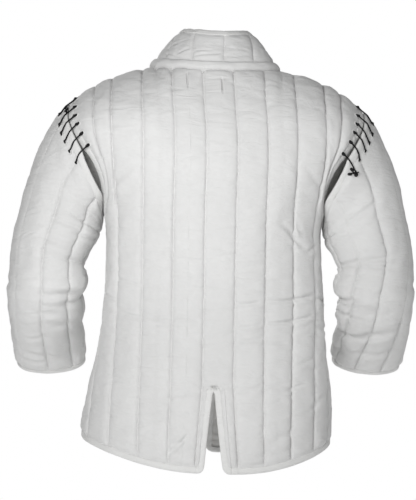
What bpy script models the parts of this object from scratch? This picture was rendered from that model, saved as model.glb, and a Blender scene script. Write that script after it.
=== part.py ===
"""A quilted arming jacket (gambeson): padded body, stand collar and laced-on sleeves.

Metres, +Z up. The origin is the middle of the neckline, the front faces -Y, and the
jacket keeps the hollow form that it has when it is worn. Every panel is a padded wall:
its inside is plain, and the quilted channels are raised in its outside.
"""

import math

import bpy
import numpy as np
from mathutils import Vector
from mathutils.bvhtree import BVHTree

# Padding and quilting
SEAM_WALL = 0.004  # wall where a quilting line holds the layers together
PUFF = 0.0045  # how far the padding stands up in the middle of a channel
CHANNEL = 0.0535  # distance between two quilting lines
SEAM_GAP = 0.0003  # clearance between neighbouring pieces

# Bound edges
BINDING = 0.008  # width of the tape beyond the panel that it finishes
BINDING_PROUD = 0.0008  # how far the tape stands over the panel's faces
EDGE_PRESS = 0.013  # the padding is pressed flat this close to a bound edge

# Body
RING_POWER = 2.35  # how square the body's cross-section is; 2 is an ellipse
UNDERARM = -0.262
HEM_BACK = -0.696
HEM_RISE = 0.042  # the hem is this much higher at the side seams
VENT_TOP = -0.557
VENT_AT = 0.137  # the vent's place in its channel, in channels from the middle
VENT_CORNER = 0.004  # the vent's upper corners are this much below its top
VENT_SPREAD = 0.0155  # half of the vent's opening at the hem
YOKE_DROP = 0.100  # how far below its top a panel has turned fully down
YOKE_ROWS = (0.0, 0.27, 0.52, 0.76, 1.0)
CHEST_ROWS = (1.33, 1.67, 2.0)
SKIRT_ROWS = (2.1, 2.22, 2.35, 2.49, 2.6)
HEM_ROWS = (2.76, 2.87, 2.97, 3.0)
CHANNEL_STEPS = (0.0, 0.2, 0.5, 0.8)  # columns of points across a channel
FRONT_EDGE = 0.17  # the front panels start here, in channels from the centre
EDGE_AT = 5.5  # the panels end here, in channels, at the armhole and the side seam

# Neck and collar
NECK_WIDTH = 2 * CHANNEL  # half of the neck hole's width
NECK_BACK = 0.088
NECK_FRONT = 0.095
NECK_SIDE_HEIGHT = -0.004
NECK_BACK_DIP = 0.007
NECK_FRONT_DIP = 0.060
COLLAR_BACK_RISE = 0.064
COLLAR_FRONT_RISE = 0.066
COLLAR_TOP_WIDTH = 0.060
COLLAR_TOP_BACK = 0.062
COLLAR_TOP_FRONT = 0.080
COLLAR_ASIDE = 0.0055  # the collar stands this much to the wearer's left, but not in front
COLLAR_LINE_SHIFT = 0.011
COLLAR_FOLLOW = 0.015  # the foot follows the panels down to this much below its inner edge
COLLAR_CHANNEL = 0.052
COLLAR_OPENING = 0.011  # half of the opening in front, with its binding left off
COLLAR_COLUMNS = 38
COLLAR_CLEAR = 6 * SEAM_GAP  # between the collar's foot and the panels
FOOT_OUT = 0.003  # the panels are also met this far outside the foot's inner edge
MISSED = -1.0  # height under a place with no panel
WELT_UP = (0.0, 0.07, 0.24, 0.30)  # the welt's rows, up the collar
WELT_THICK = (0.0030, 0.0048, 0.0045, 0.0022)

# Sleeves and lacing
SLEEVE_CHANNELS = 8
SLEEVE_STEPS = (0.0, 0.28, 0.72)
SLEEVE_ROW_STEP = 1.0
SLEEVE_STANDOFF = 0.0015  # between the two bound edges, where the lace pulls them together
SLEEVE_PART = 0.009  # the edges stand this much further apart behind and in front of the arm
ARM_OUTWARD = np.array((0.80, 0.0, -0.60))
LACE = 0.0035
LACE_CLEAR = 0.0008  # between a lace and what it lies on
LACE_SEGMENTS = 6
LACE_SIDES = 6
LACE_SEAT = 2.4 * SEAM_GAP  # from a lace to the nearest cloth, when it is seated
LACE_SEATINGS = 4
LACE_VIEW = 0.06  # rays start this far outside a lace
LACE_LOWEST = -0.02
LACE_ANGLES = (18, 37, 49, 59, 69, 80)  # round the armhole, from the shoulder's top
LACE_SLANT = 6  # each stretch ends this many degrees further down, on the sleeve
EYELET_INSET = 0.013
FRONT_LACES = (-0.105, -0.185, -0.265, -0.345, -0.425, -0.505)
FRONT_LACE_DEPTH = -0.12


def table(names, *rows):
    """A short table, kept as one array for each named column."""
    return dict(zip(names.split(), np.array(rows, float).T))


TORSO = table(
    "height half_width back front sway line_drift",
    (0.010, 0.330, 0.100, 0.095, 0.0, -0.004),
    (-0.050, 0.330, 0.118, 0.108, 0.0, -0.007),
    (-0.100, 0.318, 0.130, 0.120, 0.0, -0.010),
    (-0.140, 0.288, 0.135, 0.127, 0.0, -0.012),
    (-0.170, 0.252, 0.137, 0.131, 0.0, -0.013),
    (-0.200, 0.222, 0.136, 0.134, 0.0, -0.013),
    (-0.235, 0.199, 0.133, 0.135, 0.0, -0.013),
    (-0.270, 0.1875, 0.129, 0.135, 0.0, -0.013),
    (-0.340, 0.1855, 0.119, 0.133, -0.004, -0.010),
    (-0.400, 0.188, 0.115, 0.132, -0.0060, -0.009),
    (-0.460, 0.1925, 0.119, 0.134, -0.0056, -0.010),
    (-0.520, 0.200, 0.130, 0.139, -0.0042, -0.012),
    (-0.580, 0.211, 0.143, 0.144, -0.0022, -0.015),
    (-0.640, 0.217, 0.152, 0.148, 0.0006, -0.019),
    (-0.710, 0.222, 0.158, 0.150, 0.002, -0.023),
)

SHOULDER = table(
    "out height",
    (0.100, -0.003),
    (0.130, -0.006),
    (0.167, -0.0165),
    (0.202, -0.031),
    (0.227, -0.045),
    (0.247, -0.059),
    (0.270, -0.079),
)

ARMHOLE = table(
    "height edge last_line",
    (-0.262, 0.250, 0.228),
    (-0.250, 0.236, 0.218),
    (-0.235, 0.220, 0.205),
    (-0.215, 0.209, 0.198),
    (-0.195, 0.208, 0.197),
    (-0.175, 0.213, 0.200),
    (-0.155, 0.223, 0.206),
    (-0.130, 0.239, 0.213),
    (-0.100, 0.254, 0.217),
    (-0.060, 0.258, 0.217),
)

# Cross-sections of the wall's inside, from the shoulder to the cuff. Lean turns a section
# about the front-to-back axis, and tilt swings it forward with the forearm.
SLEEVE = table(
    "out back height half_width half_depth lean tilt",
    (0.2388, 0.000, -0.1765, 0.1022, 0.0700, 72, 0),
    (0.2497, 0.000, -0.1978, 0.0907, 0.0705, 62, 0),
    (0.2572, 0.000, -0.2152, 0.0839, 0.0700, 53, 0),
    (0.2628, 0.001, -0.2331, 0.0776, 0.0690, 44, 0),
    (0.2677, 0.002, -0.2524, 0.0729, 0.0680, 34, 0),
    (0.2737, 0.004, -0.2740, 0.0691, 0.0665, 25, 0),
    (0.2815, 0.007, -0.2968, 0.0651, 0.0650, 16, 0),
    (0.2888, 0.010, -0.3220, 0.0620, 0.0635, 9, 0),
    (0.2920, 0.012, -0.3460, 0.0611, 0.0625, 4, 0),
    (0.2933, 0.014, -0.3680, 0.0602, 0.0625, 0, 2),
    (0.2928, 0.013, -0.3890, 0.0628, 0.0620, -2, 7),
    (0.2953, 0.004, -0.4080, 0.0604, 0.0605, -3, 13),
    (0.2967, -0.011, -0.4260, 0.0599, 0.0590, -4, 19),
    (0.2974, -0.031, -0.4445, 0.0591, 0.0570, -4, 24),
    (0.2969, -0.053, -0.4625, 0.0597, 0.0550, -5, 26),
    (0.2963, -0.077, -0.4825, 0.0595, 0.0525, -5, 26),
    (0.2953, -0.102, -0.5040, 0.0590, 0.0500, -5, 24),
    (0.2950, -0.127, -0.5270, 0.0591, 0.0475, -3, 21),
)
CUFF = len(SLEEVE["out"]) - 1

# The largest folds: where the padding buckles as the arm hangs and bends. At is a section
# of the sleeve, angle is round it from the outside, 90 being the back and 180 the body side.
SLEEVE_FOLDS = table(
    "at angle reach width depth",
    (4.2, 175, 45, 0.55, 0.0050),
    (7.9, 165, 60, 0.50, 0.0050),
    (9.4, 190, 55, 0.55, -0.0035),
    (11.0, 160, 60, 0.50, 0.0055),
    (12.6, 215, 70, 0.60, -0.0030),
    (14.0, 200, 80, 0.55, 0.0045),
    (15.6, 130, 50, 0.60, 0.0030),
)
SIDES = {  # the sleeves' first quilting line, its twist at the cuff, and how low they hang
    "left": {"sign": 1, "first_line": 85, "twist": 5, "drop": 0.008},
    "right": {"sign": -1, "first_line": 74, "twist": 40, "drop": -0.008},
}


def smooth(data, column, at, key="height"):
    """A smooth curve through one column of a table, level beyond its ends."""
    order = np.argsort(data[key])
    x, y = data[key][order], data[column][order]
    slope = np.gradient(y, x)
    at = np.clip(np.asarray(at, float), x[0], x[-1])
    i = np.clip(np.searchsorted(x, at) - 1, 0, len(x) - 2)
    step = x[i + 1] - x[i]
    t = (at - x[i]) / step
    rise = y[i + 1] - y[i]
    start, end = slope[i] * step, slope[i + 1] * step
    return y[i] + t * (start + t * (3 * rise - 2 * start - end + t * (start + end - 2 * rise)))


def unit(v):
    """Vectors of length 1."""
    return v / np.maximum(np.linalg.norm(v, axis=-1, keepdims=True), 1e-12)


def channel_puff(c):
    """Share of the padding's full height at c, in channels: 0 on a line, 1 between two."""
    off_crest = 2 * np.abs(c - np.round(c))
    return 1 - off_crest**2.4


def press(distance):
    """Share of the padding left at a distance from a bound edge."""
    t = np.clip(distance / EDGE_PRESS, 0, 1)
    return t * t * (3 - 2 * t)


# The body: a point of a panel is given by c, how many channels it lies from the centre,
# and v, which runs 0 to 1 over the yoke, 1 to 2 to the underarm and 2 to 3 to the hem.


def ring_lengths(height, face, steps=64):
    """Distance along the body's cross-section from its centre, at steps of a quarter turn."""
    turn = np.linspace(0, math.pi / 2, steps + 1)
    wide = smooth(TORSO, "half_width", height)[..., None] * np.sin(turn) ** (2 / RING_POWER)
    deep = smooth(TORSO, face, height)[..., None] * np.cos(turn) ** (2 / RING_POWER)
    run = np.hypot(np.diff(wide, axis=-1), np.diff(deep, axis=-1)).cumsum(-1)
    return np.concatenate([np.zeros_like(run[..., :1]), run], -1)


def ring_point(distance, height, face):
    """Width and depth of the cross-section at this distance round it from the centre."""
    run = ring_lengths(height, face)
    i = np.clip((run < distance[..., None]).sum(-1) - 1, 0, run.shape[-1] - 2)[..., None]
    low, high = np.take_along_axis(run, i, -1), np.take_along_axis(run, i + 1, -1)
    share = np.clip((distance[..., None] - low) / (high - low), 0, 1)
    turn = ((i + share) * math.pi / 2 / (run.shape[-1] - 1))[..., 0]
    wide = smooth(TORSO, "half_width", height) * np.sin(turn) ** (2 / RING_POWER)
    deep = smooth(TORSO, face, height) * np.clip(np.cos(turn), 0, 1) ** (2 / RING_POWER)
    return wide, np.where(turn > math.pi / 2 - 1e-9, 0, deep)


def panel_distance(c, height, face):
    """Distance round the body from the centre for a place given in channels."""
    side = np.abs(c)
    side_seam = ring_lengths(height, face)[..., -1]
    edge = np.where(height < UNDERARM, side_seam, smooth(ARMHOLE, "edge", height))
    below = np.clip((UNDERARM - height) / 0.05, 0, 1)
    last = smooth(ARMHOLE, "last_line", height)
    last = last + below * (4.5 * CHANNEL - last)
    inner = np.minimum(side, 3.5) * CHANNEL
    middle = np.clip(side - 3.5, 0, 1) * (last - 3.5 * CHANNEL)
    outer = np.clip(side - 4.5, 0, 1) * (edge - last)
    return inner + middle + outer


def top_edge(c, face):
    """Depth and height of a panel's top: the neckline, then the shoulder seam."""
    share = np.sqrt(np.clip(1 - (c / 2) ** 2, 0, 1))
    if face == "back":
        depth, height = NECK_BACK * share, NECK_SIDE_HEIGHT - NECK_BACK_DIP * share**2
    else:
        depth, height = NECK_FRONT * share, NECK_SIDE_HEIGHT - NECK_FRONT_DIP * share**2
    out = panel_distance(c, np.full(np.shape(c), -0.05), face) * 0.985
    shoulder = smooth(SHOULDER, "height", out, "out")
    return depth, np.where(np.abs(c) <= 2, height, shoulder)


def hem_height(c):
    """Height of the hem, which rises towards the side seams."""
    share = (1 - np.cos(math.pi * np.clip(np.abs(c) / EDGE_AT, 0, 1))) / 2
    return HEM_BACK + HEM_RISE * share**1.35


def body_points(c, v, face):
    """Points of the wall's inside, on the back or on the front."""
    c, v = np.broadcast_arrays(np.asarray(c, float), np.asarray(v, float))
    depth, top = top_edge(c, face)
    turned = np.clip(v, 0, 1) * math.pi / 2
    height = top - YOKE_DROP * (1 - np.cos(turned))
    height = height + np.clip(v - 1, 0, 1) * (UNDERARM - top + YOKE_DROP)
    height = height + np.clip(v - 2, 0, 1) * (hem_height(c) - UNDERARM)
    drift = smooth(TORSO, "line_drift", height) * (1 - (c / EDGE_AT) ** 2)
    drift = drift * np.clip(v, 0, 1) if face == "back" else np.zeros_like(height)
    place = np.sign(c) * panel_distance(c, height, face) + drift
    out, full = ring_point(np.abs(place), height, face)
    turn_share = np.sqrt(1 - np.clip(1 - (top - height) / YOKE_DROP, 0, 1) ** 2)
    y = depth + (full - depth) * turn_share
    x = np.sign(place) * out + smooth(TORSO, "sway", height)
    return np.stack([x, y if face == "back" else -y, height], -1)


def grid_normals(points, outward):
    """Unit normals of a grid of points, on the side where outward points."""
    along_rows = np.gradient(points, axis=0)
    along_columns = np.gradient(points, axis=1)
    normal = unit(np.cross(along_rows, along_columns))
    return normal * np.sign((normal * outward).sum(-1, keepdims=True))


def body_wall(c, v, face, open_front=False):
    """Inside and outside points of a body panel, for columns c and rows v."""
    inside = body_points(c[None, :], v[:, None], face)
    away = inside * (1, 1, 0) + (0, 0, 0.12) * (v[:, None, None] < 1)
    normal = grid_normals(inside, away)
    on_seam = (np.abs(c)[None, :] > EDGE_AT - 1e-6) & (v[:, None] > 1.999)
    on_seam |= (np.abs(c)[None, :] >= 2 - 1e-6) & (v[:, None] < 1e-6)
    flat = unit(normal * (1, 0, 1))
    normal = np.where(on_seam[..., None], flat, normal)
    inside = inside + (0, SEAM_GAP / 2 if face == "back" else -SEAM_GAP / 2, 0)
    full = SEAM_WALL + PUFF * channel_puff(c)[None, :] * body_press(c, v, open_front)
    return inside, inside + normal * full[..., None]


def body_press(c, v, open_front):
    """Share of the padding left near the hem, neck, armhole, vent and front edges."""
    hem = press((3 - v) * (UNDERARM - HEM_BACK))[:, None]
    top = press(v * 0.06)[:, None]
    armhole = (EDGE_AT - np.abs(c)) * 0.018
    armhole = np.where(v[:, None] < 2.05, press(armhole)[None, :], 1)
    middle = press((np.abs(c) - FRONT_EDGE) * CHANNEL)[None, :] if open_front else 1
    vent_row = vent_rows()[0]
    from_vent = press(np.abs(c - VENT_AT) * CHANNEL)[None, :]
    vent = np.where(v[:, None] > vent_row - 1e-6, from_vent, 1)
    return hem * top * armhole * middle * (1 if open_front else vent)


def vent_rows():
    """Rows of the vent's top and of its two upper corners."""
    top = 2 + (VENT_TOP - UNDERARM) / (HEM_BACK - UNDERARM)
    return top, top + VENT_CORNER / (UNDERARM - HEM_BACK)


def half_columns(first):
    """Columns of one half of the body, in channels, from the centre to the side."""
    steps = [k + 0.5 + s for k in range(4) for s in CHANNEL_STEPS]
    return np.array([*first, *steps, 4.5, 4.85, 5.2, EDGE_AT])


def body_rows():
    """Rows of a body panel, with one at the vent's top."""
    rows = [*YOKE_ROWS, *CHEST_ROWS, *SKIRT_ROWS, *vent_rows(), *HEM_ROWS]
    return np.array(rows)


# Walls and edges


def add_object(name, points, faces, material):
    """A named object from points and faces, turned so that its faces point out."""
    points = np.asarray(points, float)
    volume = 0.0
    for face in faces:
        a = points[face[0]]
        for b, d in zip(face[1:-1], face[2:]):
            volume += a @ np.cross(points[b], points[d])
    if volume < 0:
        faces = [face[::-1] for face in faces]
    mesh = bpy.data.meshes.new(name)
    mesh.from_pydata([tuple(p) for p in points], [], faces)
    mesh.shade_smooth()
    mesh.set_sharp_from_angle(angle=math.radians(40))
    mesh.materials.append(material)
    made = bpy.data.objects.new(name, mesh)
    bpy.context.scene.collection.objects.link(made)
    made.parent = bpy.data.objects["gambeson"]
    return made


def wall(name, patches, material, around=False):
    """A closed wall from patches, each a grid of inside and a grid of outside points."""
    index, inside, outside, quads = {}, [], [], []

    def number(p_in, p_out):
        key = tuple(np.round([*p_in, *p_out], 6))
        if key not in index:
            index[key] = len(inside)
            inside.append(p_in)
            outside.append(p_out)
        return index[key]

    for grid_in, grid_out in patches:
        rows, columns = grid_in.shape[:2]
        ids = [[number(grid_in[r, k], grid_out[r, k]) for k in range(columns)] for r in range(rows)]
        for r in range(rows - 1):
            for k in range(columns if around else columns - 1):
                n = (k + 1) % columns
                quads.append((ids[r][k], ids[r][n], ids[r + 1][n], ids[r + 1][k]))
    count = len(inside)
    faces = list(quads) + [tuple(count + i for i in quad[::-1]) for quad in quads]
    sides = {}
    for quad in quads:
        for a, b in zip(quad, quad[1:] + quad[:1]):
            sides[frozenset((a, b))] = None if frozenset((a, b)) in sides else (a, b)
    faces += [(b, a, count + a, count + b) for a, b in filter(None, sides.values())]
    return add_object(name, [*outside, *inside], faces, material)


def edge_frames(inside, outside, away, closed):
    """For each point of a panel's edge: its middle, the way off the panel, the way out."""
    middle, out = (inside + outside) / 2, unit(outside - inside)
    ahead = np.roll(middle, -1, 0) - middle
    behind = middle - np.roll(middle, 1, 0)
    if not closed:
        ahead[-1], behind[0] = behind[-1], ahead[0]
    off = []
    for a, b, n, guess in zip(unit(ahead), unit(behind), out, away):
        first, second = unit(np.cross(a, n)), unit(np.cross(b, n))
        first, second = first * np.sign(first @ guess), second * np.sign(second @ guess)
        off.append((first + second) / max(1 + first @ second, 0.4))
    for k in () if closed else (0, -1):
        across = away[k] - (away[k] @ out[k]) * out[k]
        off[k] = across / (across @ off[k])
    return middle, np.array(off), out


def binding(name, inside, outside, away, material, closed=False):
    """A tape that finishes an edge: a strip beyond it, a little thicker than the wall."""
    middle, off, out = edge_frames(inside, outside, away, closed)
    half = np.linalg.norm(outside - inside, axis=-1)[:, None] / 2 + BINDING_PROUD
    section = [(SEAM_GAP, -1), (BINDING * 0.7, -1), (BINDING, 0), (BINDING * 0.7, 1), (SEAM_GAP, 1)]
    loops = np.stack([middle + off * reach + out * half * side for reach, side in section], 1)
    return tube(name, loops, material, closed)


def tube(name, loops, material, closed=False):
    """A solid through loops of points, with its two ends filled or joined."""
    count, sides = loops.shape[:2]
    faces = []
    for r in range(count if closed else count - 1):
        a, b = r * sides, (r + 1) % count * sides
        for k in range(sides):
            n = (k + 1) % sides
            faces.append((a + k, a + n, b + n, b + k))
    if not closed:
        faces += [tuple(range(sides))[::-1], tuple((count - 1) * sides + k for k in range(sides))]
    return add_object(name, loops.reshape(-1, 3), faces, material)


# Pieces


def make_material(name, colour, roughness):
    """A plain finish with this colour and roughness."""
    made = bpy.data.materials.new(name)
    made.use_nodes = True
    shader = made.node_tree.nodes["Principled BSDF"]
    shader.inputs["Base Color"].default_value = (*colour, 1)
    shader.inputs["Roughness"].default_value = roughness
    return made


def back_grids():
    """The two halves of the back panel, parted below the vent's top."""
    rows = body_rows()
    below = np.clip((rows - vent_rows()[0]) / (3 - vent_rows()[0]), 0, 1)
    left, right = (half_columns((VENT_AT * k, 0.27 + VENT_AT * k / 2)) for k in (1, -1))
    both = body_wall(np.concatenate([-right[::-1], left[1:]]), rows, "back")
    centre = len(right) - 1
    halves = {
        "left": [grid[:, centre:] for grid in both],
        "right": [grid[:, centre::-1] for grid in both],
    }
    for side, sign in (("left", 1), ("right", -1)):
        c = left if side == "left" else right
        wide, narrow = np.clip(1 - (c - c[0]) / 3, 0, 1) ** 2.5, np.clip((0.5 - c) / (0.5 - c[0]), 0, 1)
        push = VENT_SPREAD * below[:, None] * wide + (BINDING + SEAM_GAP) * (below > 0)[:, None] * narrow
        halves[side] = [g + push[..., None] * (sign, 0, 0) for g in halves[side]]
    return halves


def front_grids():
    """The two front panels, open down the middle."""
    columns = half_columns((FRONT_EDGE, 0.33))
    return {
        side: body_wall(columns * sign, body_rows(), "front", open_front=True)
        for side, sign in (("left", 1), ("right", -1))
    }


def edge_tape(side, back, front, material):
    """One tape from the neck, down the front edge, round the hem and up to the vent's top."""
    apex = int(np.argmax(body_rows() > vent_rows()[0] - 1e-6))
    sign = SIDES[side]["sign"]
    path, away = [[], []], []
    for k, grid in enumerate((front, back)):
        columns = range(1, grid[0].shape[1])
        rows = range(0 if k == 0 else apex, grid[0].shape[0] - 1)
        centre = [(r, 0, (-sign, 0, 0)) for r in rows]
        corner = [(-1, 0, (-sign, 0, -1))]
        hem = [(-1, c, (0, 0, -1)) for c in columns]
        walk = centre + corner + hem if k == 0 else hem[::-1] + corner + centre[::-1]
        for r, c, guess in walk:
            path[0].append(grid[0][r, c])
            path[1].append(grid[1][r, c])
            away.append(guess)
    away[-1] = (0, 0, -1)
    inside, outside = (np.array(p) for p in path)
    shift = np.zeros(inside.shape)
    shift[-1, 0] = sign * SEAM_GAP / 2
    binding(f"edge_binding_{side}", inside + shift, outside + shift, np.array(away), material)


def collar_ring(turn, up, base):
    """Inside points of the collar: turn is 0 at the back and half a turn in front."""
    behind = np.cos(turn) > 0
    back_share = (1 + np.cos(turn)) / 2
    rise = COLLAR_FRONT_RISE + (COLLAR_BACK_RISE - COLLAR_FRONT_RISE) * back_share
    flare = (1 - np.clip(up, 0, 1)) ** 0.85
    foot_width = NECK_WIDTH + 0.0045
    width = COLLAR_TOP_WIDTH + (foot_width - COLLAR_TOP_WIDTH) * flare
    foot_depth = np.where(behind, NECK_BACK, NECK_FRONT) + 0.001
    top_depth = np.where(behind, COLLAR_TOP_BACK, COLLAR_TOP_FRONT)
    depth = top_depth + (foot_depth - top_depth) * flare
    x = width * np.sin(turn) + COLLAR_ASIDE * (1 - (1 - back_share) ** 3)
    return np.stack(np.broadcast_arrays(x, depth * np.cos(turn), base + rise * up), -1)


def standing_height(points, lowest=MISSED):
    """Heights that just clear the panels under a row of places, and between them."""
    surface = surface_of("back", "front_left", "front_right")
    along = np.arange(0, len(points) - 0.99, 0.25)
    places = np.stack([np.interp(along, np.arange(len(points)), points[:, k]) for k in (0, 1)], -1)
    found = []
    for place, way in zip(places, unit(places)):
        starts = [Vector((*(place + way * far), 0.1)) for far in (0, FOOT_OUT, 2 * FOOT_OUT)]
        hits = [surface.ray_cast(start, (0, 0, -1))[0] for start in starts]
        found.append(next((hit.z for hit in hits if hit), MISSED))
    found = np.maximum(found, np.interp(along, np.arange(len(points)), lowest + 0 * points[:, 0]))
    level = np.interp(along, along[::4], found[::4])
    short = np.concatenate([np.zeros(3), found - level, np.zeros(3)])
    more = [short[k : k + 7].max() for k in range(0, len(found), 4)]
    return found[::4] + more + COLLAR_CLEAR


def collar_grids():
    """The collar's wall, and the welt that is sewn round its foot."""
    reach = math.pi - COLLAR_OPENING / NECK_FRONT
    turn = np.linspace(-reach, reach, COLLAR_COLUMNS + 1)
    flat = np.zeros(len(turn))
    ring = collar_ring(turn, flat, flat)
    base = standing_height(ring)
    further = ring + FOOT_OUT * unit(ring * (1, 1, 0))
    base = standing_height(further, base - COLLAR_CLEAR + 2 * SEAM_GAP)
    up = np.array((0.0, 0.15, 0.32, 0.42, 0.6, 0.8, 0.93, 1.0))
    inside = collar_ring(turn[None, :], up[:, None], base[None, :])
    normal = grid_normals(inside, inside * (1, 1, 0) - (COLLAR_ASIDE, 0, 0))
    around = np.cumsum(np.linalg.norm(np.diff(inside[3], axis=0, prepend=inside[3][:1]), axis=-1))
    around = (around - around[-1] / 2 - COLLAR_LINE_SHIFT) / COLLAR_CHANNEL + 0.5
    pressed = np.array((0, 0, 0, 0.8, 1, 1, 0.5, 0))[:, None]
    full = SEAM_WALL + PUFF * 0.7 * channel_puff(around)[None, :] * pressed
    outside = inside + normal * full[..., None]
    foot = collar_ring(turn[None, :], np.array(WELT_UP)[:, None], base[None, :])
    foot_normal = grid_normals(foot, foot * (1, 1, 0) - (COLLAR_ASIDE, 0, 0))
    welt_in = foot + foot_normal * (SEAM_WALL + 2 * SEAM_GAP)
    welt_out = welt_in + foot_normal * np.array(WELT_THICK)[:, None, None]
    beside = welt_in[0, :, 2] - outside[0, :, 2]
    outside[0, :, 2] = standing_height(outside[0], base - COLLAR_FOLLOW)
    welt_in[0, :, 2] = standing_height(welt_in[0], outside[0, :, 2] + beside)
    welt_out[0, :, 2] = standing_height(welt_out[0], base - COLLAR_FOLLOW)
    return (inside, outside), (welt_in, welt_out)


def armhole_edge(side, samples=80):
    """Inside and outside points round an armhole, and the angle of each about its middle."""
    sign = SIDES[side]["sign"]
    v = np.linspace(0, 2, samples)
    c = np.array((EDGE_AT - 0.05, EDGE_AT)) * sign
    back, front = (body_wall(c, v, face) for face in ("back", "front"))
    inside, outside = (np.concatenate([back[k][:, 1], front[k][::-1, 1]]) for k in (0, 1))
    middle = (inside[0, 2] + inside[samples - 1, 2]) / 2
    angle = np.degrees(np.arctan2(inside[:, 1], inside[:, 2] - middle))
    return inside, outside, angle


def round_armhole(side, angles, outer=False):
    """Points round an armhole at these angles, 0 at the shoulder's top and 90 at the back."""
    inside, outside, angle = armhole_edge(side)
    points = outside if outer else inside
    order = np.argsort(angle)
    wanted = (np.asarray(angles, float) + 180) % 360 - 180
    found = [np.interp(wanted, angle[order], points[order, k], period=360) for k in range(3)]
    return np.stack(found, -1)


def sleeve_section(at, angle):
    """Points on the plain cross-sections, before the rim and the folds are added."""
    row = {"at": np.arange(CUFF + 1), **SLEEVE}
    get = {name: smooth(row, name, at, "at") for name in SLEEVE}
    lean, tilt, turn = np.radians(get["lean"]), np.radians(get["tilt"]), np.radians(angle)
    wide = np.cos(turn) * get["half_width"]
    deep = np.sin(turn) * get["half_depth"]
    x = get["out"] + wide * np.cos(lean)
    y = get["back"] + deep * np.cos(tilt) - wide * np.sin(lean) * np.sin(tilt)
    z = get["height"] + wide * np.sin(lean) * np.cos(tilt) - deep * np.sin(tilt)
    return np.stack(np.broadcast_arrays(x, y, z), -1)


def sleeve_rim(angle):
    """The left sleeve's upper edge: it follows the armhole, and parts from it below."""
    off_top = np.abs((angle + 180) % 360 - 180)
    parted = np.exp(-(((off_top - 102) / 24) ** 2))
    reach = 2 * BINDING + SLEEVE_STANDOFF + SLEEVE_PART * parted
    return round_armhole("left", angle) + reach[..., None] * ARM_OUTWARD


def sleeve_points(at, angle):
    """Inside points of the left sleeve at a section number and an angle in degrees."""
    at, angle = np.broadcast_arrays(np.asarray(at, float), np.asarray(angle, float))
    points = sleeve_section(at, angle)
    pull = np.clip(1 - at / 2.6, 0, 1) ** 2
    fit = sleeve_rim(angle) - sleeve_section(np.zeros_like(at), angle)
    points = points + fit * pull[..., None]
    centre = sleeve_section(at, np.zeros_like(angle)) + sleeve_section(at, angle * 0 + 180)
    radial = unit(points - centre / 2)
    fold = np.zeros_like(at)
    for k in range(len(SLEEVE_FOLDS["at"])):
        f = {name: SLEEVE_FOLDS[name][k] for name in SLEEVE_FOLDS}
        turn = (angle - f["angle"] + 180) % 360 - 180
        fold += f["depth"] * np.exp(-(((at - f["at"]) / f["width"]) ** 2) - (turn / f["reach"]) ** 2)
    return points - radial * fold[..., None]


def hang(points, at, side):
    """Places a sleeve's points on its side of the body, at the height that its arm hangs."""
    sign, drop = SIDES[side]["sign"], SIDES[side]["drop"]
    low = np.clip((at - 5) / (CUFF - 5), 0, 1)
    return points * (sign, 1, 1) - np.stack([0 * low, 0 * low, drop * low], -1)


def sleeve_grid(side):
    """Inside and outside points of a sleeve; its columns follow the quilting lines."""
    setup = SIDES[side]
    at = np.arange(0, CUFF + 0.5 * SLEEVE_ROW_STEP, SLEEVE_ROW_STEP)
    at[-1] = CUFF - 0.4
    at = np.append(at, CUFF)
    c = np.array([k + s for k in range(SLEEVE_CHANNELS) for s in SLEEVE_STEPS]) + 0.5
    twist = setup["twist"] * np.clip((at - 7) / (CUFF - 7), 0, 1)
    angle = setup["first_line"] + (c[None, :] - 0.5) * 360 / SLEEVE_CHANNELS + twist[:, None]
    inside = hang(sleeve_points(at[:, None], angle), at[:, None] + 0 * angle, side)
    centre = inside.mean(1, keepdims=True)
    wrapped = np.concatenate([inside[:, -1:], inside, inside[:, :1]], 1)
    normal = grid_normals(wrapped, wrapped - centre)[:, 1:-1]
    pressed = press(at * 0.03) * press((CUFF - at) * 0.03)
    full = SEAM_WALL + PUFF * channel_puff(c)[None, :] * pressed[:, None]
    return inside, inside + normal * full[..., None]


def surface_of(*names):
    """The surfaces of these pieces, to find points on."""
    points, faces = [], []
    for name in names:
        mesh = bpy.data.objects[name].data
        first = len(points)
        points += [v.co for v in mesh.vertices]
        faces += [[first + i for i in face.vertices] for face in mesh.polygons]
    return BVHTree.FromPolygons(points, faces)


def lace(name, start, end, out, surface, material):
    """A taut round lace between two places, lying over whatever the surface has there."""
    share = np.linspace(0, 1, LACE_SEGMENTS + 1)
    chord = start + share[:, None] * (end - start)
    aside = unit(np.cross(end - start, out)) * LACE / 2
    height = []
    for i in range(len(share)):
        highest = LACE_LOWEST
        for step in np.linspace(-0.8, 0.8, 9):
            place = start + np.clip((i + step) / LACE_SEGMENTS, 0, 1) * (end - start) + out * LACE_VIEW
            for side in (-1, 0, 1):
                found = surface.ray_cast(Vector(place + side * aside), Vector(-out))
                highest = max(highest, LACE_VIEW - (found[3] or LACE_VIEW - LACE_LOWEST))
        height.append(highest)
    taut = [
        max(
            height[j] + (height[k] - height[j]) * ((i - j) / (k - j) if k > j else 0)
            for j in range(i + 1)
            for k in range(i, len(share))
        )
        for i in range(len(share))
    ]
    points = chord + out * (np.array(taut)[:, None] + LACE / 2 + LACE_CLEAR)
    along = unit(np.gradient(points, axis=0))
    across = unit(np.cross(along, out))
    up = np.cross(across, along)
    turn = (np.arange(LACE_SIDES) + 0.5) * 2 * math.pi / LACE_SIDES
    ring = np.cos(turn)[None, :, None] * across[:, None] + np.sin(turn)[None, :, None] * up[:, None]
    loops = points[:, None] + ring * LACE / 2
    rounded = np.stack([loops, (loops + np.roll(loops, 1, 1)) / 2])
    shares = np.linspace(0, 1, 9)[:, None, None, None, None]
    between = (rounded[:, :-1] + shares * np.diff(rounded, axis=1)).reshape(-1, 3)
    for _ in range(LACE_SEATINGS):
        nearest = min(surface.find_nearest(Vector(p))[3] for p in between)
        step = out * max(nearest - LACE_SEAT, 0)
        loops, between = loops - step, between - step
    tube(name, loops, material)


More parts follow.
